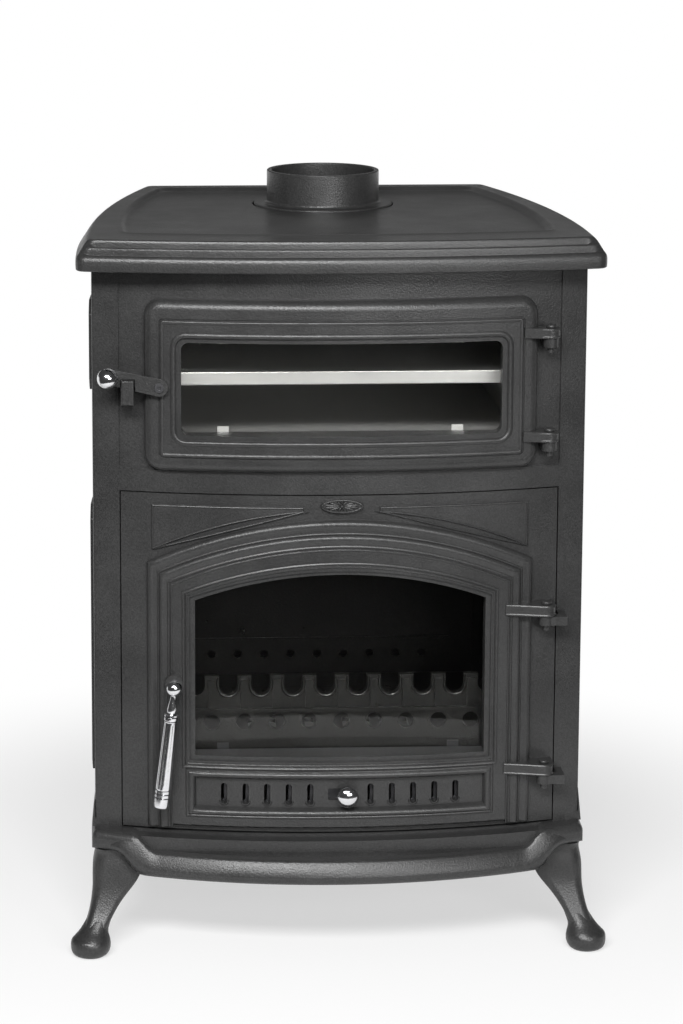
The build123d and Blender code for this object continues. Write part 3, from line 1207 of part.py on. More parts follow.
def hearth_support():
    """Right support: a wall from the base to the hearth, with a ledge that the ash pan slides on."""
    top = HEARTH_Z - HEARTH_WALL
    y_min, y_max = 24.0, REAR_LINER_Y
    wall = block(SUPPORT_X, SUPPORT_X + SUPPORT_WALL, y_min, y_max, CASING_BOTTOM, top)
    ledge = block(PAN_HALF - 12, SUPPORT_X + 1, y_min, PAN_REAR_Y, PAN_BOTTOM - 6, PAN_BOTTOM)
    return wall + ledge


def ash_pan():
    """Sheet ash pan with a rolled grip on its front."""
    pan = block(-PAN_HALF, PAN_HALF, PAN_FRONT_Y, PAN_REAR_Y, PAN_BOTTOM, PAN_TOP)
    pan -= block(
        PAN_WALL - PAN_HALF, PAN_HALF - PAN_WALL, PAN_FRONT_Y + PAN_WALL, PAN_REAR_Y - PAN_WALL,
        PAN_BOTTOM + PAN_WALL, PAN_TOP + 1,
    )
    grip_z = (PAN_BOTTOM + PAN_TOP) / 2
    for side in (-1, 1):
        pan += block(side * 40 - 4, side * 40 + 4, PAN_FRONT_Y - 14, PAN_FRONT_Y + 1, grip_z - 4, grip_z + 4)
    return pan + block(-44, 44, PAN_FRONT_Y - 18, PAN_FRONT_Y - 10, grip_z - 4, grip_z + 4)


# ---- the whole stove -------------------------------------------------------------------------------------------
def stove_pieces():
    """Every node by name, as one solid or a list of like solids."""
    oven_window = rounded(*OVEN_WINDOW)
    fire_window = arched(*FIRE_WINDOW)
    panel_right, panel_left = both_sides(side_panel())
    liner_right, liner_left = both_sides(side_liner())
    support_right, support_left = both_sides(hearth_support())
    pieces = {
        "front_frame": front_frame(),
        "side_panel_right": panel_right,
        "side_panel_left": panel_left,
        "back_panel": back_panel(),
        "top_plate": top_plate(),
        "flue_collar": flue_collar(),
        "collar_bolts": collar_bolt_set(),
        "tie_rods": tie_rods(),
        "tie_rod_nuts": tie_rod_nuts(),
        "base_plate": base_plate(),
        "leg_bolts": leg_bolts(),
        "oven_box": oven_box(),
        "oven_shelf": oven_shelf(),
        "shelf_rails": list(shelf_rails()),
        "oven_door": oven_door(),
        "oven_glass": glass_pane(oven_window, OVEN_SEAT_Y),
        "oven_glass_seal": glass_seal(oven_window, OVEN_SEAT_Y),
        "oven_glass_clips": clips(OVEN_CLIPS, OVEN_SEAT_Y),
        "oven_clip_screws": clip_screws(OVEN_CLIPS, OVEN_SEAT_Y),
        "oven_hinge_pins": hinge_pins(OVEN_SEATS, OVEN_ARM_H),
        "latch_lever": latch_lever(),
        "latch_knob": latch_knob(),
        "latch_screw": latch_screw(),
        "latch_keeper": latch_keeper(),
        "keeper_screw": keeper_screw(),
        "fire_door": fire_door(),
        "fire_glass": glass_pane(fire_window, FIRE_SEAT_Y),
        "fire_glass_seal": glass_seal(fire_window, FIRE_SEAT_Y),
        "fire_glass_clips": clips(FIRE_CLIPS, FIRE_SEAT_Y),
        "fire_clip_screws": clip_screws(FIRE_CLIPS, FIRE_SEAT_Y),
        "fire_door_rope": door_rope(),
        "fire_hinge_pins": hinge_pins(FIRE_SEATS, FIRE_ARM_H),
        "fire_handle": fire_handle(),
        "handle_spindle": handle_spindle(),
        "latch_cam": latch_cam(),
        "cam_nut": cam_nut(),
        "air_slide": air_slide(),
        "air_knob": air_knob(),
        "slide_guides": slide_guides(),
        "side_liner_right": liner_right,
        "side_liner_left": liner_left,
        "rear_liner": rear_liner(),
        "hearth_plate": hearth_plate(),
        "fire_grate": fire_grate(),
        "log_guard": log_guard(),
        "hearth_support_right": support_right,
        "hearth_support_left": support_left,
        "ash_pan": ash_pan(),
    }
    pieces.update(all_legs())
    return pieces


def solids_of(piece):
    """The solids of a node."""
    if isinstance(piece, (list, tuple)):
        found = []
        for item in piece:
            found.extend(item.solids())
        return found
    return list(piece.solids())


def middle_y(pieces):
    """Middle of the whole stove from front to back."""
    front = min(solid.bounding_box().min.Y for piece in pieces.values() for solid in solids_of(piece))
    back = max(solid.bounding_box().max.Y for piece in pieces.values() for solid in solids_of(piece))
    return (front + back) / 2


def main():
    """Build the stove and write one STEP file for each node."""
    os.makedirs("parts", exist_ok=True)
    pieces = stove_pieces()
    shift = middle_y(pieces)
    for name, piece in pieces.items():
        moved = [Pos(0, -shift, 0) * solid for solid in solids_of(piece)]
        export_step(Compound(children=moved) if len(moved) > 1 else moved[0], f"parts/{name}.step")
    print(f"nodes {len(pieces)}, moved back by {-shift:.4f}")


if __name__ == "__main__":
    main()
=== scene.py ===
"""Looks of a cast iron wood cookstove: an oven above a firebox, on four cabriole legs.

The construction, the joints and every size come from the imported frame. This script dresses it: each casting
is carried over as a merged mesh with rounded arrises, and gets its cast detail and the real piece's finish.
Sizes are in millimetres where nothing else is said. The frame is in metres.
"""
from __future__ import annotations

import json
import logging
import math
from dataclasses import dataclass
from enum import Enum
from typing import Any

import bmesh
import bpy
from mathutils import Euler, Matrix, Vector

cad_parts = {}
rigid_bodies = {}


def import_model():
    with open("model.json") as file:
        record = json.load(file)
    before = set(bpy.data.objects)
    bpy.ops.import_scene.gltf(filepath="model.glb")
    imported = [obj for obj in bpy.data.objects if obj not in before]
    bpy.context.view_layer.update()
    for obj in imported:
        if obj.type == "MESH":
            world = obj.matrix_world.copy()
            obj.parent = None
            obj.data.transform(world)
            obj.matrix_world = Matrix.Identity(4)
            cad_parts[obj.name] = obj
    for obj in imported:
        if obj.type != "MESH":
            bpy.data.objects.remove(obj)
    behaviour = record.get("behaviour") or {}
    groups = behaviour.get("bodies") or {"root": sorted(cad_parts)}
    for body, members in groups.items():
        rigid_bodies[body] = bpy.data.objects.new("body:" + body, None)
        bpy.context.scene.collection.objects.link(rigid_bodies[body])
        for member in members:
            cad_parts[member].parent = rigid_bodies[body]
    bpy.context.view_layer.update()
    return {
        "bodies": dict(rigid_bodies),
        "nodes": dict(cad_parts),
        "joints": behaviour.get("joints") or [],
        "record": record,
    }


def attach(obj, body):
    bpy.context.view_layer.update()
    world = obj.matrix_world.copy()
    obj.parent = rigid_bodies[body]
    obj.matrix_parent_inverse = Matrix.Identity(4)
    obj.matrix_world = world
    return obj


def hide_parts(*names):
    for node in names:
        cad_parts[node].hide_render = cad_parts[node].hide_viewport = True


LOG = logging.getLogger("cookstove")
MM = 0.001  # one millimetre in the scene's metres
CORNERS_AHEAD = 202.0  # the casing's front corners stand this far ahead of the origin

Pair = tuple[float, float]
Triple = tuple[float, float, float]
Quad = tuple[float, float, float, float]
Profile = tuple[Pair, ...]  # the points across a bead, or down a turned piece


# ---- colours and nodes ------------------------------------------------------------------------------------


def linear(code: str) -> Quad:
    """Turn an sRGB hex colour into linear RGBA.

    Args:
        code: Six hex digits, such as "3a3b3d".

    Returns:
        The colour that a shader's socket takes.
    """
    parts = [int(code[i : i + 2], 16) / 255 for i in (0, 2, 4)]
    bent = [c / 12.92 if c <= 0.04045 else ((c + 0.055) / 1.055) ** 2.4 for c in parts]
    return (bent[0], bent[1], bent[2], 1.0)


def add_node(
    tree: bpy.types.NodeTree,
    kind: str,
    settings: dict[str | int, Any] | None = None,
    links: dict[str | int, bpy.types.Node | bpy.types.NodeSocket] | None = None,
) -> bpy.types.Node:
    """Add a node to a tree with its settings and links.

    Args:
        tree: The tree that gets the node.
        kind: Blender's type name of the node, without the ShaderNode that it starts with.
        settings: Values by the name of a property, or by the name or number of an input.
        links: What feeds each input, by its name or number: an output, or a node for its first output.

    Returns:
        The new node.
    """
    node = tree.nodes.new("ShaderNode" + kind)
    for key, value in (settings or {}).items():
        if isinstance(key, int) or key in node.inputs:
            node.inputs[key].default_value = value
        else:
            setattr(node, key, value)
    for key, source in (links or {}).items():
        output = source.outputs[0] if isinstance(source, bpy.types.Node) else source
        tree.links.new(output, node.inputs[key])
    return node


def fresh_tree(owner: bpy.types.Material | bpy.types.World) -> bpy.types.NodeTree:
    """Turn on the nodes of a material or a world.

    Args:
        owner: The material or the world.

    Returns:
        Its tree, with nothing in it.
    """
    owner.use_nodes = True
    owner.node_tree.nodes.clear()
    return owner.node_tree


def waves_per_metre(size_mm: float) -> float:
    """Scale of a noise or cell pattern whose features are about size_mm across."""
    return 1000.0 / size_mm


WHITE = linear("ffffff")
NOISE_SPAN = (0.3, 0.7)  # nearly all the values of a noise lie between these
NOISE_CORE = (0.35, 0.65)  # and most of them between these


# ---- finishes ---------------------------------------------------------------------------------------------


@dataclass(frozen=True)
class Finish:
    """What all finishes share: the name of the real one, and nodes that give its surface."""

    name: str

    def surface(self, tree: bpy.types.NodeTree) -> bpy.types.Node:
        """Add the surface's nodes to the material's empty tree, and return its shader."""
        raise NotImplementedError

    def make(self) -> bpy.types.Material:
        """Build the material.

        Returns:
            The material, under the finish's name.
        """
        material = bpy.data.materials.new(self.name)
        tree = fresh_tree(material)
        add_node(tree, "OutputMaterial", links={"Surface": self.surface(tree)})
        return material


@dataclass(frozen=True)
class CastIron(Finish):
    """Grey cast iron from a sand mould.

    The sand leaves a fine grain of pits and crests. It breaks every highlight into specks, so that no arris
    is a clean white line, and the crests are painted paler than the pits as painted glints where the grains
    catch light. A slow cloud over the surface shows where the paint or the rust skin lies thicker.
    """

    colour: str
    roughness: float
    specular: float = 0.5
    roughness_spread: float = 0.1
    grain_mm: float = 2.1  # sand grain, drawn four times its size so that it shows
    grain_depth_mm: float = 0.36
    glint_tone: float = 0.3  # how far the crests are painted paler than the pits: painted glints where the grains catch light
    cloud_mm: float = 85.0
    cloud_tone: float = 0.12

    def surface(self, tree: bpy.types.NodeTree) -> bpy.types.Node:
        """Add dark paint or skin over a grain whose crests are painted paler as glints, both toned by the
        cloud.

        Args:
            tree: The material's empty tree.

        Returns:
            The shader.
        """
        place = add_node(tree, "TexCoord").outputs["Object"]
        settings = {"Scale": waves_per_metre(self.grain_mm), "Detail": 2.0, "Roughness": 0.55}
        grain = add_node(tree, "TexNoise", settings, {"Vector": place})
        settings = {"Scale": waves_per_metre(self.cloud_mm), "Detail": 5.0, "Roughness": 0.6}
        cloud = add_node(tree, "TexNoise", settings, {"Vector": place})
        spread = self.roughness_spread / 2
        # the grain's crests are painted paler: painted glints where the sand grains catch light
        ranges = (
            (grain, NOISE_SPAN, 1 - self.glint_tone, 1 + self.glint_tone),
            (cloud, NOISE_CORE, 1 - self.cloud_tone, 1 + self.cloud_tone),
            (cloud, NOISE_SPAN, self.roughness - spread, self.roughness + spread),
        )
        made = []
        for pattern, (start, end), low, high in ranges:
            settings = {"From Min": start, "From Max": end, "To Min": low, "To Max": high}
            made.append(add_node(tree, "MapRange", settings, {"Value": pattern}))
        crests, skin, rough = made
        tone = add_node(tree, "Math", {"operation": "MULTIPLY"}, {0: crests, 1: skin})
        settings = {"operation": "SCALE", 0: linear(self.colour)[:3]}
        paint = add_node(tree, "VectorMath", settings, {"Scale": tone})
        bump = add_node(
            tree, "Bump", {"Strength": 1.0, "Distance": self.grain_depth_mm * MM}, {"Height": grain}
        )
        return add_node(
            tree,
            "BsdfPrincipled",
            {"Metallic": 0.0, "IOR": 1.5, "Specular IOR Level": self.specular},
            {"Base Color": paint, "Roughness": rough, "Normal": bump},
        )


@dataclass(frozen=True)
class PolishedNickel(Finish):
    """Polished nickel plate on the door handle, the latch ball and the air knob: a bright, clear mirror."""

    name: str = "polished_nickel_plate"
    colour: str = "e2e2e4"
    roughness: float = 0.13
    haze_mm: float = 9.0  # faint haze from hands
    haze: Pair = (0.6, 1.6)  # what the haze makes of the roughness

    def surface(self, tree: bpy.types.NodeTree) -> bpy.types.Node:
        """Add metal whose gloss is a little uneven.

        Args:
            tree: The material's empty tree.

        Returns:
            The shader.
        """
        place = add_node(tree, "TexCoord").outputs["Object"]
        settings = {"Scale": waves_per_metre(self.haze_mm), "Detail": 3.0}
        haze = add_node(tree, "TexNoise", settings, {"Vector": place})
        settings = {"To Min": self.roughness * self.haze[0], "To Max": self.roughness * self.haze[1]}
        rough = add_node(tree, "MapRange", settings, {"Value": haze})
        settings = {"Base Color": linear(self.colour), "Metallic": 1.0}
        return add_node(tree, "BsdfPrincipled", settings, {"Roughness": rough})


@dataclass(frozen=True)
class SheetSteel(Finish):
    """Rolled steel, dulled by heat or by its oxide skin: a soft sheen with faint rolling lines."""

    colour: str
    roughness: float
    metallic: float
    line_mm: float = 0.8
    line_stretch: float = 40.0
    gloss: Pair = (0.8, 1.3)  # what the lines make of the roughness

    def surface(self, tree: bpy.types.NodeTree) -> bpy.types.Node:
        """Add metal whose gloss changes from one rolling line to the next.

        Args:
            tree: The material's empty tree.

        Returns:
            The shader.
        """
        place = add_node(tree, "TexCoord").outputs["Object"]
        settings = {"Scale": (1.0 / self.line_stretch, 1.0, 1.0)}
        stretched = add_node(tree, "Mapping", settings, {"Vector": place})
        settings = {"Scale": waves_per_metre(self.line_mm), "Detail": 2.0}
        lines = add_node(tree, "TexNoise", settings, {"Vector": stretched})
        settings = {"To Min": self.roughness * self.gloss[0], "To Max": self.roughness * self.gloss[1]}
        rough = add_node(tree, "MapRange", settings, {"Value": lines})
        settings = {"Base Color": linear(self.colour), "Metallic": self.metallic}
        return add_node(tree, "BsdfPrincipled", settings, {"Roughness": rough})


@dataclass(frozen=True)
class WovenGlassRope(Finish):
    """Knitted glass fibre rope of a stove door: matt grey, with the ribs of its knit."""

    name: str = "knitted_glass_fibre_rope"
    colour: str = "6b6965"
    roughness: float = 0.9
    knit_mm: float = 2.4
    knit_depth_mm: float = 0.5
    knit_uneven: float = 0.6
    knit_shade_tone: Pair = (0.6, 1.1)  # what the knit makes of the colour, from its valleys to its ribs: painted shade darkens the valleys

    def surface(self, tree: bpy.types.NodeTree) -> bpy.types.Node:
        """Add matt yarn with slanting ribs, its valleys painted darker as painted shade.

        Args:
            tree: The material's empty tree.

        Returns:
            The shader.
        """
        place = add_node(tree, "TexCoord").outputs["Object"]
        waves = waves_per_metre(self.knit_mm) / math.pi
        settings = {"bands_direction": "DIAGONAL", "Scale": waves, "Distortion": self.knit_uneven}
        knit = add_node(tree, "TexWave", settings, {"Vector": place}).outputs["Fac"]
        # the yarn's colour follows the knit: painted shade in its valleys
        settings = {"To Min": self.knit_shade_tone[0], "To Max": self.knit_shade_tone[1]}
        tone = add_node(tree, "MapRange", settings, {"Value": knit})
        settings = {"operation": "SCALE", 0: linear(self.colour)[:3]}
        yarn = add_node(tree, "VectorMath", settings, {"Scale": tone})
        bump = add_node(
            tree, "Bump", {"Strength": 1.0, "Distance": self.knit_depth_mm * MM}, {"Height": knit}
        )
        settings = {"Roughness": self.roughness}
        return add_node(tree, "BsdfPrincipled", settings, {"Base Color": yarn, "Normal": bump})


@dataclass(frozen=True)
class CeramicGlass(Finish):
    """Clear glass ceramic pane of a stove door: colourless, flat and glossy on both faces."""

    name: str = "glass_ceramic_pane"
    colour: str = "f2f2f0"
    ior: float = 1.26  # under the real 1.54, because the room has little in it that a pane would show

    def surface(self, tree: bpy.types.NodeTree) -> bpy.types.Node:
        """Add glass that lamps pass, so that what stands behind it is lit.

        Args:
            tree: The material's empty tree.

        Returns:
            The shader.
        """
        path = add_node(tree, "LightPath").outputs
        rays = {0: path["Is Shadow Ray"], 1: path["Is Diffuse Ray"]}
        through = add_node(tree, "Math", {"operation": "MAXIMUM"}, rays)
        settings = {"Base Color": linear(self.colour), "Roughness": 0.0, "IOR": self.ior}
        pane = add_node(tree, "BsdfPrincipled", {**settings, "Transmission Weight": 1.0})
        clear = add_node(tree, "BsdfTransparent")
        return add_node(tree, "MixShader", links={0: through, 1: pane, 2: clear})


STOVE_PAINT = CastIron("sand_cast_iron_in_satin_stove_paint", "2e2e2e", 0.36)
FIRED_IRON = CastIron("bare_cast_iron_darkened_by_fire", "181817", 0.32, specular=0.32)
OVEN_SHEET = SheetSteel("rolled_steel_sheet_dulled_by_heat", "969694", 0.45, 0.3)
SHELF_STEEL = SheetSteel("bright_rolled_steel_strip", "d8d8d6", 0.32, 0.8)
BOLT_STEEL = SheetSteel("steel_with_dark_oxide_skin", "4a4a4c", 0.4, 0.7)


# ---- the room ---------------------------------------------------------------------------------------------


@dataclass(frozen=True)
class PhotoCamera:
    """Where the photograph was taken from, fitted to the stove's corners. Its place is in metres."""

    place: Triple = (-0.266, -3.802, 1.408)
    turned_right: float = 2.29
    looking_down: float = 9.56
    lens_mm: float = 106.6
    sensor_mm: float = 36.0
    shift: Pair = (0.10, -0.20)
    reach: float = 50.0

    def make(self) -> None:
        """Add the camera and make it the scene's own."""
        data = bpy.data.cameras.new("camera")
        data.lens = self.lens_mm
        data.sensor_fit = "AUTO"
        data.sensor_width = self.sensor_mm
        data.shift_x, data.shift_y = self.shift
        data.clip_end = self.reach
        camera = bpy.data.objects.new("camera", data)
        camera.location = self.place
        turn = Euler((math.radians(90 - self.looking_down), 0.0, math.radians(-self.turned_right)))
        camera.rotation_euler = turn
        bpy.context.scene.collection.objects.link(camera)
        bpy.context.scene.camera = camera


@dataclass(frozen=True)
class Lamp:
    """One soft box of the studio, in metres."""

    name: str
    place: Triple
    aim: Triple
    size: Pair
    watts: float

    def make(self) -> None:
        """Add the lamp, turned towards its aim."""
        data = bpy.data.lights.new(self.name, "AREA")
        data.shape = "RECTANGLE"
        data.size, data.size_y = self.size
        data.energy = self.watts
        lamp = bpy.data.objects.new(self.name, data)
        way = Vector(self.aim) - Vector(self.place)
        lamp.location = self.place
        lamp.rotation_euler = way.to_track_quat("-Z", "Y").to_euler()
        bpy.context.scene.collection.objects.link(lamp)


@dataclass(frozen=True)
class Studio:
    """A pale floor, a white wall behind the stove, a dark room in front of it, and soft boxes, in metres."""

    floor_radius: float = 1.15
    floor_colour: str = "f2f2f2"
    floor_white: float = 0.6  # share of plain white in the floor's tone at the stove
    shade_reach: Pair = (0.45, 1.0)  # that share grows to all of it between these distances
    world_strength: float = 0.13
    dark_room: float = 0.05  # what polished metal and glass show of the room round the stove
    wall_edge: Pair = (0.1, 0.4)  # Y of the direction where dark turns to white
    wall_top: Pair = (0.02, 0.16)  # Z of the direction where the white wall ends
    lamps: tuple[Lamp, ...] = (
        Lamp("key", (-0.5, -2.7, 2.35), (0.0, -0.2, 0.6), (2.2, 0.6), 135.0),
        Lamp("fill", (1.0, -3.2, 1.25), (0.0, 0.0, 0.6), (1.8, 0.7), 36.0),
        Lamp("back", (0.0, 2.6, 2.6), (0.0, 0.1, 0.6), (2.4, 1.2), 4.0),
    )

    def make(self) -> None:
        """Set the world, the floor and the lamps."""
        self._world()
        self._floor()
        for lamp in self.lamps:
            lamp.make()

    def _world(self) -> None:
        """White to the camera, the wall and the dark room in metal and glass, and plain grey otherwise."""
        world = bpy.data.worlds.new("studio")
        tree = fresh_tree(world)
        path = add_node(tree, "LightPath").outputs
        way = add_node(tree, "TexCoord").outputs["Generated"]
        split = add_node(tree, "SeparateXYZ", links={0: way}).outputs
        edges = []
        for axis, dark, white in (("Y", *self.wall_edge), ("Z", *reversed(self.wall_top))):
            settings = {"interpolation_type": "SMOOTHSTEP", "From Min": dark, "From Max": white}
            edges.append(add_node(tree, "MapRange", settings, {"Value": split[axis]}))
        wall = add_node(tree, "Math", {"operation": "MULTIPLY"}, {0: edges[0], 1: edges[1]})
        room = add_node(tree, "MapRange", {"To Min": self.dark_room, "To Max": 1.0}, {"Value": wall})
        rays = {0: path["Is Glossy Ray"], 1: path["Is Transmission Ray"]}
        mirrored = add_node(tree, "Math", {"operation": "MAXIMUM"}, rays)
        settings = {"data_type": "FLOAT", 2: self.world_strength}
        unseen = add_node(tree, "Mix", settings, {0: mirrored, 3: room})
        settings = {"data_type": "FLOAT", 3: 1.0}
        strength = add_node(tree, "Mix", settings, {0: path["Is Camera Ray"], 2: unseen})
        light = add_node(tree, "Background", {"Color": WHITE}, {"Strength": strength})
        add_node(tree, "OutputWorld", links={"Surface": light})
        bpy.context.scene.world = world

    def _floor(self) -> None:
        """A round white floor that keeps the stove's shadow and fades into the white round it."""
        built = bmesh.new()
        bmesh.ops.create_circle(built, cap_ends=True, segments=96, radius=self.floor_radius)
        mesh = bpy.data.meshes.new("floor")
        built.to_mesh(mesh)
        built.free()
        floor = bpy.data.objects.new("floor", mesh)
        bpy.context.scene.collection.objects.link(floor)
        material = bpy.data.materials.new("painted_studio_floor")
        tree = fresh_tree(material)
        path = add_node(tree, "LightPath").outputs
        place = add_node(tree, "TexCoord").outputs["Object"]
        away = add_node(tree, "VectorMath", {"operation": "LENGTH"}, {0: place}).outputs["Value"]
        start, end = self.shade_reach
        settings = {"From Min": start, "From Max": end, "To Min": self.floor_white}
        fade = add_node(tree, "MapRange", {"interpolation_type": "SMOOTHSTEP", **settings}, {"Value": away})
        share = add_node(tree, "Math", {"operation": "MULTIPLY"}, {0: path["Is Camera Ray"], 1: fade})
        paint = add_node(tree, "BsdfDiffuse", {"Color": linear(self.floor_colour)})
        white = add_node(tree, "Emission", {"Color": WHITE})
        mix = add_node(tree, "MixShader", links={0: share, 1: paint, 2: white})
        add_node(tree, "OutputMaterial", links={"Surface": mix})
        mesh.materials.append(material)


# ---- the shapes that several pieces share -----------------------------------------------------------------

DOUBLE_REACH = 0.005 * MM  # points of a drawn shell that lie nearer than this are one
MERGE_REACH = 0.02 * MM  # the same in a copy of the frame's mesh
FLAT_TURN = math.radians(0.08)  # faces of a copy that meet at less than this become one
ARRIS_TURN = math.radians(35)  # faces that meet at more than this have an arris between them
LEVEL = 0.01  # an upright face's normal rises or falls less than this
BOW_SLACK = 0.06 * MM  # how far the corners of a bowed face may lie off one cylinder
FACING = 0.99  # cosine of how far its normal may turn from the bow's
LEAD = 1.5  # power of its area that a face leads the normals round it by


@dataclass(frozen=True)
class Bow:
    """An upright cylinder that a front is bent round, by its half width, its rise and the Y of its ends."""

    half: float
    rise: float
    corner_y: float = 0.0  # from the casing's front corners

    @property
    def radius(self) -> float:
        """Radius of the cylinder."""
        return (self.half**2 + self.rise**2) / (2 * self.rise)

    @property
    def axis_y(self) -> float:
        """Y of the cylinder's upright axis, in metres of the frame."""
        return (self.corner_y - CORNERS_AHEAD - self.rise + self.radius) * MM

    def point(self, x: float, z: float, ahead: float) -> Vector:
        """Point in metres at x and z on the surface that lies this far ahead of the cylinder."""
        reach = math.sqrt((self.radius + ahead) ** 2 - x**2) * MM
        return Vector((x * MM, self.axis_y - reach, z * MM))

    def outward(self, place: Vector) -> Vector:
        """Unit vector away from the axis at a place."""
        return Vector((place.x, place.y - self.axis_y, 0.0)).normalized()


CASING_BOW = Bow(half=300.0, rise=45.0)
BASE_FRONT_BOW = Bow(half=304.0, rise=68.0, corner_y=-22.0)


def draw_shell(rows: list[list[Vector]]) -> bmesh.types.BMesh:
    """Draw a ring of points out through further rings, each extruded from the one before.

    Args:
        rows: Rings of points in metres, all of one length. Where the last isn't the first, both are capped.

    Returns:
        The closed shell, with its faces outwards.
    """
    built = bmesh.new()
    verts = [bmesh.ops.create_vert(built, co=point)["vert"][0] for point in rows[0]]
    edges = [built.edges.new(pair) for pair in zip(verts, verts[1:] + verts[:1])]
    for row in rows[1:]:
        grown = set(bmesh.ops.extrude_edge_only(built, edges=edges)["geom"])
        after = []
        for vert, point in zip(verts, row):
            stem = next(edge.other_vert(vert) for edge in vert.link_edges if edge.other_vert(vert) in grown)
            stem.co = point
            after.append(stem)
        verts = after
        edges = [built.edges.get(pair) for pair in zip(verts, verts[1:] + verts[:1])]
    bmesh.ops.remove_doubles(built, verts=built.verts, dist=DOUBLE_REACH)
    rims = [edge for edge in built.edges if edge.is_boundary]
    if rims:
        bmesh.ops.holes_fill(built, edges=rims)
    bmesh.ops.recalc_face_normals(built, faces=built.faces)
    return built


def full_turn(count: int) -> list[float]:
    """Angles of this many steps round a circle, in radians."""
    return [2 * math.pi * step / count for step in range(count)]


def join_shell(built: bmesh.types.BMesh, shell: bmesh.types.BMesh) -> None:
    """Add a finished shell to a mesh.

    Args:
        built: The mesh that gets the shell.
        shell: The shell, which is freed.
    """
    mesh = bpy.data.meshes.new("shell")
    shell.to_mesh(mesh)
    shell.free()
    built.from_mesh(mesh)
    bpy.data.meshes.remove(mesh)


def sampled(corners: list[Vector], step_mm: float = 9.0) -> list[Vector]:
    """Set points along a closed flat outline.

    Args:
        corners: The outline's corners in order.
        step_mm: The most that two points may lie apart.

    Returns:
        The corners, with points between them.
    """
    points = []
    for start, end in zip(corners, corners[1:] + corners[:1]):
        count = max(1, math.ceil((end - start).length / step_mm))
        points += [start.lerp(end, number / count) for number in range(count)]
    return points


def flat_arc(half: float, low: float, high: float, count: int) -> list[Vector]:
    """Set points along a flat arc in front view, from right to left.

    Args:
        half: X of its right end.
        low: Height of its ends.
        high: Height of its crown.
        count: How many steps it has.

    Returns:
        The points, one more than the steps.
    """
    rise = high - low
    radius = (half**2 + rise**2) / (2 * rise)
    reach = math.asin(half / radius)
    turns = [reach * (1 - 2 * number / count) for number in range(count + 1)]
    return [Vector((radius * math.sin(turn), high - radius + radius * math.cos(turn))) for turn in turns]


def rounded_outline(half: float, low: float, high: float, radius: float) -> list[Vector]:
    """Set points round a rectangle with round corners in front view, anticlockwise.

    Args:
        half: Half its width.
        low: Height of its lower edge.
        high: Height of its upper edge.
        radius: Radius of its corners.

    Returns:
        The points of its four corners, 15 degrees apart.
    """
    low_z, high_z = low + radius, high - radius
    points = []
    for side, z, start in ((1, low_z, -90), (1, high_z, 0), (-1, high_z, 90), (-1, low_z, 180)):
        centre = Vector((side * (half - radius), z))
        for step in range(7):
            turn = math.radians(start + 15 * step)
            points.append(centre + Vector((math.cos(turn), math.sin(turn))) * radius)
    return [point for point, after in zip(points, points[1:] + points[:1]) if (after - point).length > 0.01]


def bead_shell(bow: Bow, outline: list[Vector], section: Profile) -> bmesh.types.BMesh:
    """Draw a closed bead that follows an outline on a bowed front.

    Args:
        bow: The front that the bead lies on.
        outline: Points of the outline in front view, anticlockwise.
        section: Distance inside the outline and height over the front of each point across the bead.

    Returns:
        The finished shell.
    """
    sharpest = 0.3  # cosine of the sharpest turn that a mitre is drawn out to
    rows = []
    for number, point in enumerate(outline):
        before = (point - outline[number - 1]).normalized()
        after = (outline[(number + 1) % len(outline)] - point).normalized()
        inward = (Vector((-before.y, before.x)) + Vector((-after.y, after.x))).normalized()
        stretch = 1 / max(inward.dot(Vector((-before.y, before.x))), sharpest)
        row = []
        for inset, height in section:
            place = point + inward * inset * stretch
            row.append(bow.point(place.x, place.y, height))
        rows.append(row)
    rows.append(list(rows[0]))
    return draw_shell(rows)


def eased(value: float, start: float, end: float) -> float:
    """Share of the way from start to end, from 0 to 1, that leaves and arrives softly.

    Args:
        value: Where on the way.
        start: Where the share is 0.
        end: Where it is 1.

    Returns:
        The share.
    """
    share = min(max((value - start) / (end - start), 0.0), 1.0)
    return share**2 * (3 - 2 * share)


# ---- the bench --------------------------------------------------------------------------------------------


class Slot(Enum):
    """Material slots of the record."""

    BLACK_IRON = "black_iron"
    RAW_IRON = "raw_iron"
    OVEN_STEEL = "oven_steel"
    BRIGHT_METAL = "bright_metal"
    FASTENER_STEEL = "fastener_steel"
    STOVE_GLASS = "stove_glass"
    WOVEN_ROPE = "woven_rope"


def shade(mesh: bpy.types.Mesh, bow: Bow | None) -> None:
    """Give a mesh smooth normals that large faces lead, and exact ones on a bowed front.

    Args:
        mesh: The mesh to shade.
        bow: The cylinder that its front is bent round, if any.
    """
    same_turn = math.cos(ARRIS_TURN)
    at_vertex: dict[int, list[tuple[Vector, float]]] = {index: [] for index in range(len(mesh.vertices))}
    own: list[Vector] = []
    for face in mesh.polygons:
        normal = face.normal.copy()
        bent = False
        if bow is not None and abs(normal.z) < LEVEL:
            reaches = [(mesh.vertices[v].co.xy - Vector((0.0, bow.axis_y))).length for v in face.vertices]
            facing = abs(normal.dot(bow.outward(face.center))) > FACING
            bent = max(reaches) - min(reaches) < BOW_SLACK and facing
        own.append(normal)
        for vertex in face.vertices:
            led = bow.outward(mesh.vertices[vertex].co) if bent else normal
            if bent and led.dot(normal) < 0:
                led = -led
            at_vertex[vertex].append((led, face.area**LEAD))
    normals = []
    for face, normal in zip(mesh.polygons, own):
        for vertex in face.vertices:
            total = Vector()
            for led, weight in at_vertex[vertex]:
                if led.dot(normal) > same_turn:
                    total += led * weight
            normals.append(total.normalized() if total.length > 0 else normal)
    for face in mesh.polygons:
        face.use_smooth = True
    mesh.normals_split_custom_set(normals)


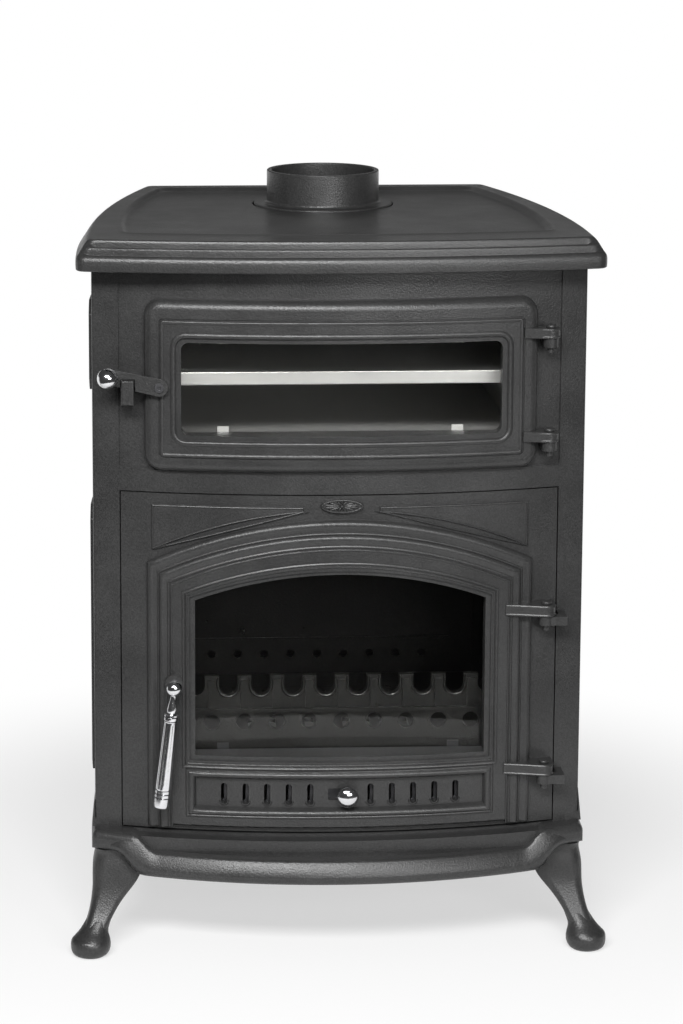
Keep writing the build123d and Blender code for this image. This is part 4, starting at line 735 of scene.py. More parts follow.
class Bench:
    """Where pieces are made: it knows the frame, the finishes and the bodies that pieces ride on."""

    def __init__(self, frame: dict[str, Any]) -> None:
        """Keep the frame, find each node's body and make the finishes.
        """
        self.nodes = frame["nodes"]
        bodies = frame["record"]["behaviour"]["bodies"]
        self.body_of = {node: body for body, nodes in bodies.items() for node in nodes}
        self.finishes = {
            Slot.BLACK_IRON: STOVE_PAINT.make(),
            Slot.RAW_IRON: FIRED_IRON.make(),
            Slot.OVEN_STEEL: OVEN_SHEET.make(),
            Slot.BRIGHT_METAL: PolishedNickel().make(),
            Slot.FASTENER_STEEL: BOLT_STEEL.make(),
            Slot.STOVE_GLASS: CeramicGlass().make(),
            Slot.WOVEN_ROPE: WovenGlassRope().make(),
        }
        self.shelf_steel = SHELF_STEEL.make()

    def merged(self, node: str, round_mm: float) -> bmesh.types.BMesh:
        """Merge a copy of a node's mesh and round its arrises.

        Args:
            node: Name of the node in the frame.
            round_mm: Width of the rounding on every sharp arris.

        Returns:
            The copy, which finish frees.
        """
        built = bmesh.new()
        built.from_mesh(self.nodes[node].data)
        bmesh.ops.remove_doubles(built, verts=built.verts, dist=MERGE_REACH)
        bmesh.ops.dissolve_limit(
            built,
            angle_limit=FLAT_TURN,
            verts=built.verts,
            edges=built.edges,
            delimit={"NORMAL"},
        )
        bmesh.ops.bevel(
            built,
            geom=[edge for edge in built.edges if edge.calc_face_angle(0.0) > ARRIS_TURN],
            offset=round_mm * MM,
            offset_type="OFFSET",
            affect="EDGES",
            segments=2,
            profile=0.5,
            clamp_overlap=True,
            material=-1,
        )
        return built

    def finish(
        self,
        built: bmesh.types.BMesh,
        node: str,
        slot: Slot,
        bow: Bow | None = None,
        material: bpy.types.Material | None = None,
    ) -> None:
        """Turn a built mesh into the piece that stands for a node.

        Args:
            built: The mesh, which is freed.
            node: Name of the node in the frame.
            slot: The record's material slot.
            bow: The cylinder that the piece's front is bent round, if any.
            material: The piece's own finish, where it isn't the slot's.
        """
        mesh = bpy.data.meshes.new(node + "_dressed")
        built.to_mesh(mesh)
        built.free()
        mesh.materials.clear()
        mesh.materials.append(material or self.finishes[slot])
        shade(mesh, bow)
        piece = bpy.data.objects.new(node + "_dressed", mesh)
        bpy.context.scene.collection.objects.link(piece)
        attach(piece, self.body_of[node])
        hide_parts(node)
        LOG.info("dressed %s: %d faces", node, len(mesh.polygons))

    def carry(
        self,
        slot: Slot,
        round_mm: float,
        *nodes: str,
        bow: Bow | None = None,
        material: bpy.types.Material | None = None,
    ) -> None:
        """Carry nodes over as merged copies with rounded arrises and their finish.

        Args:
            slot: The record's material slot.
            round_mm: Width of the rounding on every sharp arris.
            *nodes: Names of the nodes in the frame.
            bow: The cylinder that their fronts are bent round, if any.
            material: Their own finish, where it isn't the slot's.
        """
        for node in nodes:
            self.finish(self.merged(node, round_mm), node, slot, bow, material)

    def glaze(self, pane: str) -> None:
        """Give a pane its glass. It keeps the frame's own mesh.

        Args:
            pane: Name of the node in the frame.
        """
        mesh = self.nodes[pane].data
        mesh.materials.clear()
        mesh.materials.append(self.finishes[Slot.STOVE_GLASS])
        LOG.info("glazed %s", pane)


# ---- top plate --------------------------------------------------------------------------------------------

FRONT_POINTS, CORNER_POINTS, SIDE_POINTS, BACK_POINTS = 48, 8, 24, 24  # of every ring round the plate


def circle_through(first: Vector, middle: Vector, last: Vector) -> tuple[Vector, float]:
    """Find the circle through three flat points.

    Args:
        first: One point.
        middle: Another.
        last: A third, not in line with them.

    Returns:
        The circle's centre and radius.
    """
    ax, ay = first.x, first.y
    bx, by = middle.x, middle.y
    cx, cy = last.x, last.y
    twice = 2 * (ax * (by - cy) + bx * (cy - ay) + cx * (ay - by))
    ux = ((ax**2 + ay**2) * (by - cy) + (bx**2 + by**2) * (cy - ay) + (cx**2 + cy**2) * (ay - by)) / twice
    uy = ((ax**2 + ay**2) * (cx - bx) + (bx**2 + by**2) * (ax - cx) + (cx**2 + cy**2) * (bx - ax)) / twice
    centre = Vector((ux, uy))
    return centre, (first - centre).length


def rounding(start: Vector, corner: Vector, end: Vector) -> list[Vector]:
    """Round a corner with a curve that leaves and arrives along its sides.

    Args:
        start: Where the curve leaves one side.
        corner: Where the sides would meet.
        end: Where the curve arrives on the other side.

    Returns:
        The curve's points between start and end.
    """
    points = []
    for step in range(1, CORNER_POINTS + 1):
        share = step / (CORNER_POINTS + 1)
        points.append(start.lerp(corner, share).lerp(corner.lerp(end, share), share))
    return points


@dataclass(frozen=True)
class Outline:
    """Plan outline with a bowed front, swelled sides and a straight back, Y from the casing's corners."""

    front_half: float
    corner_y: float
    rise: float
    rear_half: float
    rear_y: float
    swell: float
    corner_r: float
    corner_shrink: float = 0.25  # what each millimetre inside the outline takes off the corner's radius
    corner_least: float = 6.0

    def ring(self, inset: float) -> list[Vector]:
        """Set points round the outline, from the left front corner to the right one and round the back.

        Args:
            inset: How far the ring lies inside the outline.

        Returns:
            Flat points, the same number for every inset.
        """
        left = Vector((-self.front_half, self.corner_y))
        right = Vector((self.front_half, self.corner_y))
        nose = Vector((0.0, self.corner_y - self.rise))
        rear = Vector((self.rear_half, self.rear_y))
        run = rear - right
        outward = Vector((run.y, -run.x)).normalized()
        side_mid = (right + rear) / 2 + outward * self.swell
        front_c, front_r = circle_through(left, nose, right)
        side_c, side_r = circle_through(right, side_mid, rear)
        front_r -= inset
        side_r -= inset
        back_y = self.rear_y - inset

        gap = side_c - front_c
        along = (gap.length**2 + front_r**2 - side_r**2) / (2 * gap.length)
        across = math.sqrt(front_r**2 - along**2)
        foot = front_c + gap.normalized() * along
        turned = Vector((-gap.y, gap.x)).normalized()
        choices = (foot + turned * across, foot - turned * across)
        corner = max(choices, key=lambda point: point.x - point.y)
        rear_corner = Vector((side_c.x + math.sqrt(side_r**2 - (back_y - side_c.y) ** 2), back_y))

        round_r = max(self.corner_r - inset * self.corner_shrink, self.corner_least)
        front_end = math.asin(corner.x / front_r) - round_r / front_r
        front = []
        for step in range(FRONT_POINTS):
            turn = -front_end + 2 * front_end * step / (FRONT_POINTS - 1)
            front.append(front_c + Vector((math.sin(turn), -math.cos(turn))) * front_r)
        side_start = math.atan2(corner.y - side_c.y, corner.x - side_c.x) + round_r / side_r
        side_end = math.atan2(rear_corner.y - side_c.y, rear_corner.x - side_c.x) - round_r / side_r
        side = []
        for step in range(SIDE_POINTS):
            turn = side_start + (side_end - side_start) * step / (SIDE_POINTS - 1)
            side.append(side_c + Vector((math.cos(turn), math.sin(turn))) * side_r)
        back_half = rear_corner.x - round_r
        back = [
            Vector((back_half * (1 - 2 * step / (BACK_POINTS - 1)), back_y)) for step in range(BACK_POINTS)
        ]
        other = [Vector((-point.x, point.y)) for point in reversed(side)]
        return [
            *front,
            *rounding(front[-1], corner, side[0]),
            *side,
            *rounding(side[-1], rear_corner, back[0]),
            *back,
            *rounding(back[-1], Vector((-rear_corner.x, rear_corner.y)), other[0]),
            *other,
            *rounding(other[-1], Vector((-corner.x, corner.y)), front[0]),
        ]

    def placed(self, ring: list[Vector], heights: list[float]) -> list[Vector]:
        """Ring in metres of the frame, each point at its own height."""
        return [Vector((p.x * MM, (p.y - CORNERS_AHEAD) * MM, z * MM)) for p, z in zip(ring, heights)]

    def level(self, inset: float, height: float) -> list[Vector]:
        """Ring this far inside the outline, in metres of the frame, all at one height."""
        ring = self.ring(inset)
        return self.placed(ring, [height] * len(ring))


@dataclass(frozen=True)
class TopPlate:
    """The hob plate: a rounded lip with two cast steps at the front, a sloped rim, and a sunk hob."""

    plate: Outline = Outline(318.0, -41.0, 33.0, 238.0, 494.0, 23.0, 12.0)
    hob: Outline = Outline(257.0, 30.0, 24.0, 208.0, 448.0, 20.0, 14.0)
    flue: Pair = (0.0, 321.0)
    # radius and height of each ring from the hob down into the seat of the flue's flange and through its hole
    seat: Profile = (
        (93.0, 884.5), (92.0, 884.0), (91.7, 883.0), (91.6, 879.9), (67.0, 879.9), (67.0, 876.2),
    )
    lip_wall: float = 10.0
    lip_bottom: float = 852.0
    lip_ease: Pair = (1.0, 0.5)  # how far the arris inside the foot of the lip is eased, outwards and up
    underside: float = 876.2
    rim_top: float = 888.5
    # inset and height of each ring at the front, from the foot of the lip to the flat rim
    front: Profile = (
        (1.6, 852.0), (0.3, 853.2), (0.0, 858.0), (0.0, 863.5), (0.7, 867.2), (2.4, 869.9), (4.8, 871.2),
        (7.0, 871.1), (8.7, 870.6), (8.9, 872.4), (9.1, 876.8), (9.7, 879.0), (11.2, 880.2), (13.2, 880.0),
        (15.4, 879.4), (17.4, 879.1), (17.7, 884.8), (18.8, 887.4), (20.6, 888.5), (22.4, 888.5),
    )
    side_foot: int = 5  # up to this ring the sides are as the front is
    side_run: float = 16.0  # how far the sides' slope runs in from there
    side_bend: float = 1.2
    hob_slope: float = 10.0  # width of the soft step down to the hob
    # share of that width and how far each ring lies under the rim; a low ridge stands over the step
    hob_step: Profile = (
        (-0.5, 0.0), (-0.2, -0.5), (0.05, -0.7), (0.25, -0.2), (0.45, 1.4), (0.65, 3.1), (0.85, 3.9),
        (1.0, 4.0),
    )

    def _plate(self) -> bmesh.types.BMesh:
        """Draw the plate as one closed shell: up the lip, over the rim, down the flue's hole and back.

        Returns:
            The finished shell.
        """
        rows = []
        total = len(self.plate.ring(0.0))
        shares = [self._front_share(index, total) for index in range(total)]
        for level, (inset, height) in enumerate(self.front):
            side_inset, side_height = self._side_level(level)
            rings = zip(self.plate.ring(inset), self.plate.ring(side_inset), shares)
            ring = [side.lerp(front, share) for front, side, share in rings]
            heights = [side_height + (height - side_height) * share for share in shares]
            rows.append(self.plate.placed(ring, heights))
        for share, drop in self.hob_step:
            rows.append(self.hob.level(self.hob_slope * (share - 0.5), self.rim_top - drop))
        edge = self.hob.ring(self.hob_slope / 2)
        for radius, height in self.seat:
            rows.append(self.hob.placed(self._round_flue(edge, radius), [height] * len(edge)))
        ease_out, ease_up = self.lip_ease
        rows.append(self.plate.level(self.lip_wall, self.underside))
        rows.append(self.plate.level(self.lip_wall, self.lip_bottom + ease_up))
        rows.append(self.plate.level(self.lip_wall - ease_out, self.lip_bottom))
        rows.append(list(rows[0]))
        return draw_shell(rows)

    def _front_share(self, index: int, total: int) -> float:
        """How far a point of the ring belongs to the front: 1 along it, 0 on the sides, less in a corner.

        Args:
            index: The point's place in the ring.
            total: How many points the ring has.

        Returns:
            The share.
        """
        if index < FRONT_POINTS:
            return 1.0
        if index < FRONT_POINTS + CORNER_POINTS:
            return 1.0 - (index - FRONT_POINTS + 1) / (CORNER_POINTS + 1)
        if index >= total - CORNER_POINTS:
            return (index - total + CORNER_POINTS + 1) / (CORNER_POINTS + 1)
        return 0.0

    def _side_level(self, level: int) -> Pair:
        """Inset and height of a ring on the sides, where the rim slopes up from the lip in one sweep.

        Args:
            level: The ring's place in the front's rings.

        Returns:
            The inset and the height.
        """
        if level < self.side_foot:
            return self.front[level]
        share = (level - self.side_foot) / (len(self.front) - 1 - self.side_foot)
        inset, height = self.front[self.side_foot]
        swept = math.sin(share * math.pi / 2) ** self.side_bend
        return (inset + share * self.side_run, height + (self.rim_top - height) * swept)

    def _round_flue(self, ring: list[Vector], radius: float) -> list[Vector]:
        """Points on a circle round the flue, each facing one point of the ring."""
        centre = Vector(self.flue)
        return [centre + (point - centre).normalized() * radius for point in ring]

    def dress(self, bench: Bench) -> None:
        """Put the plate and the flue collar in place."""
        bench.finish(self._plate(), "top_plate", Slot.BLACK_IRON)
        bench.carry(Slot.BLACK_IRON, 0.8, "flue_collar")


# ---- the doors --------------------------------------------------------------------------------------------


@dataclass(frozen=True)
class HingeArm:
    """Cast arm from a door's border to its hinge pin, with a fine rim along both edges of its face."""

    start: Pair  # X where the arm leaves the border, and how far ahead of the bow
    bottom: float
    height: float
    turn_end: float  # how far round the pin its face runs, in degrees from X
    back: Profile  # X, and how far ahead of the bow, of the corners of its back
    turn_start: float = -105.0
    steps: int = 16
    pin: Pair = (251.5, -34.0)  # X, and Y from the casing's front corners
    radius: float = 11.1
    # distance from the arm's upper or lower edge, and height over its face, of each point across the rim
    rim: Profile = ((0.1, -0.7), (0.5, 0.3), (1.6, 0.9), (2.6, 0.4), (3.2, 0.0))

    def shell(self, bow: Bow) -> bmesh.types.BMesh:
        """Draw the arm's face upwards, ring by ring.

        Args:
            bow: The front that the arm's door is bent round.

        Returns:
            The finished shell.
        """
        rows = []
        upper = [(self.height - edge, grow) for edge, grow in reversed(self.rim)]
        for up, grow in (*self.rim, *upper):
            z = self.bottom + up
            centre = Vector((self.pin[0], self.pin[1] - CORNERS_AHEAD, z)) * MM
            row = [bow.point(self.start[0], z, self.start[1] + grow)]
            for step in range(self.steps + 1):
                turn = math.radians(self.turn_start + (self.turn_end - self.turn_start) * step / self.steps)
                row.append(centre + Vector((math.cos(turn), math.sin(turn), 0.0)) * (self.radius + grow) * MM)
            row.extend(bow.point(x, z, ahead) for x, ahead in self.back)
            rows.append(row)
        return draw_shell(rows)


@dataclass(frozen=True)
class Rosette:
    """The oval rosette over the arch: a rim, with petals and a boss inside it."""

    half_w: float = 25.4
    half_h: float = 8.6
    middle: float = 565.5
    ahead: float = 4.0  # of the front, where the petals and the boss have their middles
    rim_points: int = 72
    petals: int = 12
    tips: Pair = (0.86, 0.8)  # the petals' tips on the oval, as shares of its half sizes
    petal_at: float = 0.56  # share of the way to its tip where a petal has its middle
    petal_long: float = 0.44  # and its half length
    petal_high: float = 2.3
    petal_wide: Pair = (0.75, 0.055)  # its half width, and what each millimetre out to the tip adds
    boss: Triple = (2.6, 3.0, 2.0)
    rim: Profile = (
        (0.0, 2.0), (0.0, 4.4), (0.5, 5.4), (1.3, 5.6), (2.1, 5.0), (2.4, 3.6),
    )

    def shells(self, bow: Bow) -> list[bmesh.types.BMesh]:
        """Draw the petals with the boss, and the rim.

        Args:
            bow: The front that the rosette lies on.

        Returns:
            The two finished shells.
        """
        petals = bmesh.new()
        for number in range(self.petals):
            turn = 2 * math.pi * (number + 0.5) / self.petals
            tip = Vector(
                (self.half_w * self.tips[0] * math.cos(turn), self.half_h * self.tips[1] * math.sin(turn))
            )
            place = bow.point(tip.x * self.petal_at, self.middle + tip.y * self.petal_at, self.ahead)
            lean = Matrix.Rotation(-math.atan2(tip.y, tip.x), 4, "Y")
            wide = self.petal_wide[0] + self.petal_wide[1] * tip.length
            size = Matrix.Diagonal((tip.length * self.petal_long, self.petal_high, wide, 1.0))
            matrix = Matrix.Translation(place) @ lean @ size
            bmesh.ops.create_uvsphere(petals, u_segments=16, v_segments=10, radius=MM, matrix=matrix)
        place = bow.point(0.0, self.middle, self.ahead)
        matrix = Matrix.Translation(place) @ Matrix.Diagonal((*self.boss, 1.0))
        bmesh.ops.create_uvsphere(petals, u_segments=20, v_segments=12, radius=MM, matrix=matrix)
        rim = []
        for turn in full_turn(self.rim_points):
            rim.append(Vector((self.half_w * math.cos(turn), self.middle + self.half_h * math.sin(turn))))
        return [petals, bead_shell(bow, rim, self.rim)]


@dataclass(frozen=True)
class FireDoor:
    """The fire door: its casting with the rolls of the arch, the ribs and the border of the air vents."""

    bow: Bow = CASING_BOW
    arch_half: float = 235.2
    arch_crown: float = 548.4
    arch_r: float = 522.0
    arch_bottom: float = 160.2
    leg_share: float = 0.806  # the rolls are this much narrower down the sides
    arch_steps: int = 48
    # distance from the outer edge and height over the front of each point across the rolls
    rolls: Profile = (
        (0.0, -0.6), (0.1, 3.0), (0.9, 5.4), (2.6, 7.4), (5.0, 8.3), (7.6, 8.1), (10.4, 6.9), (13.0, 5.6),
        (15.0, 5.1), (15.6, 5.9), (16.6, 6.3), (17.6, 6.1), (18.0, 5.4), (18.4, 7.4), (19.6, 9.1),
        (21.6, 10.0), (24.0, 9.9), (27.2, 8.7), (30.2, 7.5), (30.8, 8.2), (32.0, 8.6), (33.0, 8.3),
        (33.6, 7.2), (34.6, 7.2), (35.1, 8.6), (36.0, 9.2), (37.2, 8.9), (37.9, 7.9), (37.9, 2.0),
    )
    vent_half: float = 189.0
    vent_bottom: float = 174.8
    vent_top: float = 236.2
    vent_steps: int = 40  # along its two long sides, and two up each short one
    vent_bead: Profile = (
        (0.0, 6.0), (0.1, 8.8), (1.0, 10.4), (2.2, 10.7), (3.0, 10.3), (3.6, 10.7), (5.0, 12.2), (6.8, 12.6),
        (8.8, 11.8), (10.4, 10.2), (11.8, 7.4), (12.8, 4.9), (13.4, 3.4), (12.0, 3.0),
    )
    slots_a_side: int = 5
    slot_first: float = 36.9
    slot_pitch: float = 26.3
    slot_foot: float = 195.2  # height of the middle of a slot's round lower end
    slot_steps: int = 12
    # radius and height over the front of each point across the lip under a slot
    slot_lip: Profile = (
        (3.7, 3.0), (3.7, 4.9), (4.2, 5.7), (5.0, 5.8), (5.8, 5.1), (6.4, 3.6),
    )
    window: Quad = (177.0, 252.0, 447.0, 481.0)  # half width, sill, springing and crown
    window_steps: int = 40  # along the crown
    # distance inside the window's edge, so outside it where negative, and height over the front
    window_ribs: Profile = (
        (-8.6, 7.4), (-9.0, 8.8), (-9.8, 9.4), (-10.8, 9.3), (-11.5, 8.5), (-12.0, 8.1), (-12.6, 8.6),
        (-13.4, 9.5), (-14.6, 9.8), (-15.8, 9.2), (-16.4, 7.4),
    )
    panel: Triple = (46.3, 228.7, 563.7)  # inner end, outer end and top of a corner panel
    panel_margin: float = 11.2  # between the arch and the panel
    panel_steps: int = 24
    panel_rib: Profile = (
        (0.0, 1.0), (0.0, 2.9), (0.3, 3.5), (0.9, 3.8), (1.6, 3.5), (2.3, 2.6), (2.0, 1.0),
    )
    rosette: Rosette = Rosette()
    arms: tuple[HingeArm, ...] = (
        HingeArm((202.5, 9.6), 423.75, 14.0, 60.0, ((257.0, -1.0), (202.5, -1.0))),
        HingeArm((202.5, 9.6), 222.75, 14.0, 60.0, ((257.0, -1.0), (202.5, -1.0))),
    )

    def _arch(self) -> bmesh.types.BMesh:
        """Draw the rolls up one side, over the arch and down the other.

        Returns:
            The finished shell.
        """
        centre_z = self.arch_crown - self.arch_r
        rows = [self._leg_row(-1.0)]
        for step in range(self.arch_steps + 1):
            share = 2 * step / self.arch_steps - 1
            row = []
            for inset, height in self.rolls:
                radius = self.arch_r - inset
                turn = share * math.asin((self.arch_half - self.leg_share * inset) / radius)
                x = radius * math.sin(turn)
                row.append(self.bow.point(x, centre_z + radius * math.cos(turn), height))
            rows.append(row)
        rows.append(self._leg_row(1.0))
        return draw_shell(rows)

    def _leg_row(self, side: float) -> list[Vector]:
        """Row of points across the foot of one leg of the arch."""
        reach = [(self.arch_half - self.leg_share * inset, height) for inset, height in self.rolls]
        return [self.bow.point(side * x, self.arch_bottom, height) for x, height in reach]

    def _vent_border(self) -> bmesh.types.BMesh:
        """Draw the bead round the air vents along its four sides.

        Returns:
            The finished shell.
        """
        corners = [(-1, -1), (1, -1), (1, 1), (-1, 1)]
        middle = (self.vent_bottom + self.vent_top) / 2
        rise = (self.vent_top - self.vent_bottom) / 2
        rows = []
        for (side, up), (next_side, next_up) in zip(corners, corners[1:] + corners[:1]):
            steps = self.vent_steps if up == next_up else 2
            for step in range(steps):
                row = []
                for inset, height in self.vent_bead:
                    start = Vector((side * (self.vent_half - inset), middle + up * (rise - inset)))
                    end = Vector((next_side * (self.vent_half - inset), middle + next_up * (rise - inset)))
                    place = start.lerp(end, step / steps)
                    row.append(self.bow.point(place.x, place.y, height))
                rows.append(row)
        rows.append(list(rows[0]))
        return draw_shell(rows)

    def _window_ribs(self) -> bmesh.types.BMesh:
        """Draw the fine ribs round the window.

        Returns:
            The finished shell.
        """
        half, sill, springing, crown = self.window
        corners = [(-half, springing), (-half, sill), (half, sill), (half, springing)]
        sides = sampled([Vector(corner) for corner in corners])
        outline = [point for point in sides if point.y < springing - 1]
        outline += flat_arc(half, springing, crown, self.window_steps)
        return bead_shell(self.bow, outline, self.window_ribs)

    def _panels(self) -> list[bmesh.types.BMesh]:
        """Draw the ribs round the two corner panels over the arch.

        Returns:
            The right and the left one.
        """
        inner, outer, top = self.panel
        radius = self.arch_r + self.panel_margin
        centre_z = self.arch_crown - self.arch_r
        curve = []
        for number in range(self.panel_steps + 1):
            x = inner + (outer - inner) * number / self.panel_steps
            curve.append(Vector((x, centre_z + math.sqrt(radius**2 - x**2))))
        points = curve + sampled([curve[-1], Vector((outer, top)), Vector((inner, top)), curve[0]])[1:]
        right = [point for number, point in enumerate(points) if (point - points[number - 1]).length > 0.5]
        left = [Vector((-point.x, point.y)) for point in reversed(right)]
        return [bead_shell(self.bow, outline, self.panel_rib) for outline in (right, left)]

    def _slot_lips(self) -> list[bmesh.types.BMesh]:
        """Draw a raised half-round lip under every air slot.

        Returns:
            The lips.
        """
        shells = []
        for number in range(2 * self.slots_a_side):
            side = 1 if number % 2 else -1
            x = side * (self.slot_first + number // 2 * self.slot_pitch)
            rows = []
            for step in range(self.slot_steps + 1):
                turn = math.pi * (1 + step / self.slot_steps)
                across, down = math.cos(turn), math.sin(turn)
                rows.append(
                    [self.bow.point(x + across * r, self.slot_foot + down * r, h) for r, h in self.slot_lip]
                )
            shells.append(draw_shell(rows))
        return shells

    def dress(self, bench: Bench) -> None:
        """Put the door and what it carries in place.

        Args:
            bench: Where pieces are made.
        """
        built = bench.merged("fire_door", 0.7)
        shells = [self._arch(), self._vent_border(), self._window_ribs()]
        shells += [arm.shell(self.bow) for arm in self.arms]
        shells += [*self._panels(), *self.rosette.shells(self.bow), *self._slot_lips()]
        for shell in shells:
            join_shell(built, shell)
        bench.finish(built, "fire_door", Slot.BLACK_IRON, self.bow)
        bench.carry(Slot.BLACK_IRON, 0.8, "fire_hinge_pins")
        bench.carry(Slot.BRIGHT_METAL, 0.2, "fire_glass_clips", material=bench.finishes[Slot.FASTENER_STEEL])
        bench.carry(Slot.FASTENER_STEEL, 0.3, "fire_clip_screws", "cam_nut")
        bench.carry(Slot.RAW_IRON, 0.4, "latch_cam")
        bench.carry(Slot.WOVEN_ROPE, 0.5, "fire_glass_seal", "fire_door_rope")
        bench.glaze("fire_glass")


@dataclass(frozen=True)
class OvenDoor:
    """The oven door: its casting with a rib round its raised frame and a soft roll round its window."""

    bow: Bow = CASING_BOW
    frame: Quad = (220.5, 624.0, 794.0, 6.0)  # half width, bottom, top and corners of the raised frame
    # distance inside the frame's edge and height over the front
    frame_rib: Profile = (
        (1.6, 12.0), (1.7, 13.8), (2.2, 14.8), (3.2, 15.5), (4.4, 15.6), (5.6, 15.1), (6.6, 14.3),
        (7.0, 12.0),
    )
    window: Quad = (200.0, 646.0, 771.0, 12.0)
    window_roll: Profile = (
        (-7.0, 13.0), (-6.4, 14.2), (-4.8, 15.4), (-3.0, 15.8), (-1.4, 15.4), (-0.2, 14.3), (0.2, 13.0),
    )
    arms: tuple[HingeArm, ...] = (
        HingeArm((221.0, 14.6), 767.75, 12.0, 85.0, ((238.0, 4.0), (221.0, 0.0))),
        HingeArm((221.0, 14.6), 640.75, 12.0, 85.0, ((238.0, 4.0), (221.0, 0.0))),
    )

    def dress(self, bench: Bench) -> None:
        """Put the door, its latch and what else it carries in place.

        Args:
            bench: Where pieces are made.
        """
        built = bench.merged("oven_door", 0.7)
        for edge, section in ((self.frame, self.frame_rib), (self.window, self.window_roll)):
            join_shell(built, bead_shell(self.bow, sampled(rounded_outline(*edge)), section))
        for arm in self.arms:
            join_shell(built, arm.shell(self.bow))
        bench.finish(built, "oven_door", Slot.BLACK_IRON, self.bow)
        bench.carry(Slot.BLACK_IRON, 0.8, "latch_lever", "oven_hinge_pins")
        bench.carry(Slot.BRIGHT_METAL, 0.2, "latch_knob")
        bench.carry(Slot.BRIGHT_METAL, 0.2, "oven_glass_clips", material=bench.shelf_steel)
        bench.carry(Slot.FASTENER_STEEL, 0.3, "oven_clip_screws", "latch_screw")
        bench.carry(Slot.WOVEN_ROPE, 0.5, "oven_glass_seal")
        bench.glaze("oven_glass")


@dataclass(frozen=True)
class DoorHandle:
    """The hanging handle of the fire door: a ball, a waisted stem, a beaded ferrule and a fluted grip."""

    ball: Triple = (-203.0, -258.0, 343.0)
    ball_r: float = 10.0
    tilt: float = 6.2
    flutes: int = 8
    flute_depth: float = 0.085  # as a share of the radius
    around: int = 96
    # distance down from the ball's centre, radius, and how deep the flutes are there
    turned: tuple[Triple, ...] = (
        (8.6, 3.6, 0.0), (12.0, 3.5, 0.0), (16.0, 4.2, 0.0), (21.0, 5.4, 0.0), (26.0, 6.1, 0.0),
        (29.5, 5.8, 0.0), (31.6, 5.2, 0.0), (32.0, 7.9, 0.0), (32.6, 8.8, 0.0), (34.4, 8.9, 0.0),
        (35.2, 8.2, 0.0), (36.0, 8.8, 0.0), (39.0, 8.8, 0.0), (40.0, 8.1, 0.0), (40.8, 8.7, 0.0),
        (41.8, 8.5, 0.0), (42.4, 7.2, 0.0), (45.0, 7.6, 1.0), (80.0, 8.5, 1.0), (120.0, 9.4, 1.0),
        (126.0, 9.5, 0.8), (127.5, 9.2, 0.4), (128.2, 9.9, 0.4), (131.6, 10.0, 0.4), (132.4, 9.2, 0.4),
        (133.2, 9.9, 0.4), (136.6, 10.0, 0.4), (137.4, 9.2, 0.4), (138.2, 9.9, 0.4), (146.5, 10.0, 0.2),
        (149.6, 9.2, 0.0), (150.8, 7.4, 0.0), (151.0, 4.0, 0.0),
    )

    def _turned(self) -> bmesh.types.BMesh:
        """Draw the stem, ferrule and grip down from ring to ring.

        Returns:
            The finished shell, hanging straight down from the origin.
        """
        rows = []
        for down, radius, cut in self.turned:
            row = []
            for turn in full_turn(self.around):
                wave = abs(math.cos(self.flutes / 2 * turn))
                reach = radius * (1 - self.flute_depth * cut * (1 - wave))
                row.append(Vector((reach * math.cos(turn), reach * math.sin(turn), -down)) * MM)
            rows.append(row)
        return draw_shell(rows)

    def dress(self, bench: Bench) -> None:
        """Put the handle and its spindle in place.

        Args:
            bench: Where pieces are made.
        """
        built = self._turned()
        ball = bmesh.new()
        bmesh.ops.create_uvsphere(ball, u_segments=48, v_segments=24, radius=self.ball_r * MM)
        join_shell(built, ball)
        hang = Matrix.Translation(Vector(self.ball) * MM) @ Matrix.Rotation(math.radians(self.tilt), 4, "Y")
        bmesh.ops.transform(built, matrix=hang, verts=built.verts)
        bench.finish(built, "fire_handle", Slot.BRIGHT_METAL)
        bench.carry(Slot.BRIGHT_METAL, 0.4, "handle_spindle")


@dataclass(frozen=True)
class AirControl:
    """The air slide and its knob, a turned mushroom on a small ball neck."""

    around: int = 64
    # distance behind the knob's face and radius
    turned: Profile = (
        (0.0, 0.4), (0.25, 3.4), (1.0, 6.6), (2.4, 9.5), (4.4, 11.8), (6.6, 13.1), (8.4, 13.4), (9.4, 13.0),
        (9.9, 11.8), (10.4, 9.0), (11.0, 6.6), (11.8, 5.6), (12.6, 6.4), (14.2, 7.0), (16.0, 6.5),
        (17.0, 5.4), (17.6, 6.9), (19.2, 7.5), (19.4, 3.5),
    )
    foot_r: float = 2.5  # where the neck meets the slide

    def _knob(self, low: Vector, high: Vector) -> bmesh.types.BMesh:
        """Draw the knob back from its face, ring by ring.

        Args:
            low: Lowest corner of the box that it fills.
            high: Highest corner of that box.

        Returns:
            The finished shell.
        """
        face = Vector(((low.x + high.x) / 2, low.y, (low.z + high.z) / 2))
        rows = []
        for back, radius in (*self.turned, ((high.y - low.y) / MM, self.foot_r)):
            row = []
            for turn in full_turn(self.around):
                row.append(face + Vector((radius * math.cos(turn), back, -radius * math.sin(turn))) * MM)
            rows.append(row)
        return draw_shell(rows)

    def dress(self, bench: Bench) -> None:
        """Put the knob, the slide and its guides in place.

        Args:
            bench: Where pieces are made.
        """
        node = bench.nodes["air_knob"]
        spots = [node.matrix_world @ vertex.co for vertex in node.data.vertices]
        low, high = (Vector((pick(spot[axis] for spot in spots) for axis in range(3))) for pick in (min, max))
        bench.finish(self._knob(low, high), "air_knob", Slot.BRIGHT_METAL)
        steel = bench.finishes[Slot.FASTENER_STEEL]
        bench.carry(Slot.OVEN_STEEL, 0.3, "air_slide", bow=CASING_BOW, material=steel)
        bench.carry(Slot.RAW_IRON, 0.4, "slide_guides")


# ---- firebox, oven and casing -----------------------------------------------------------------------------


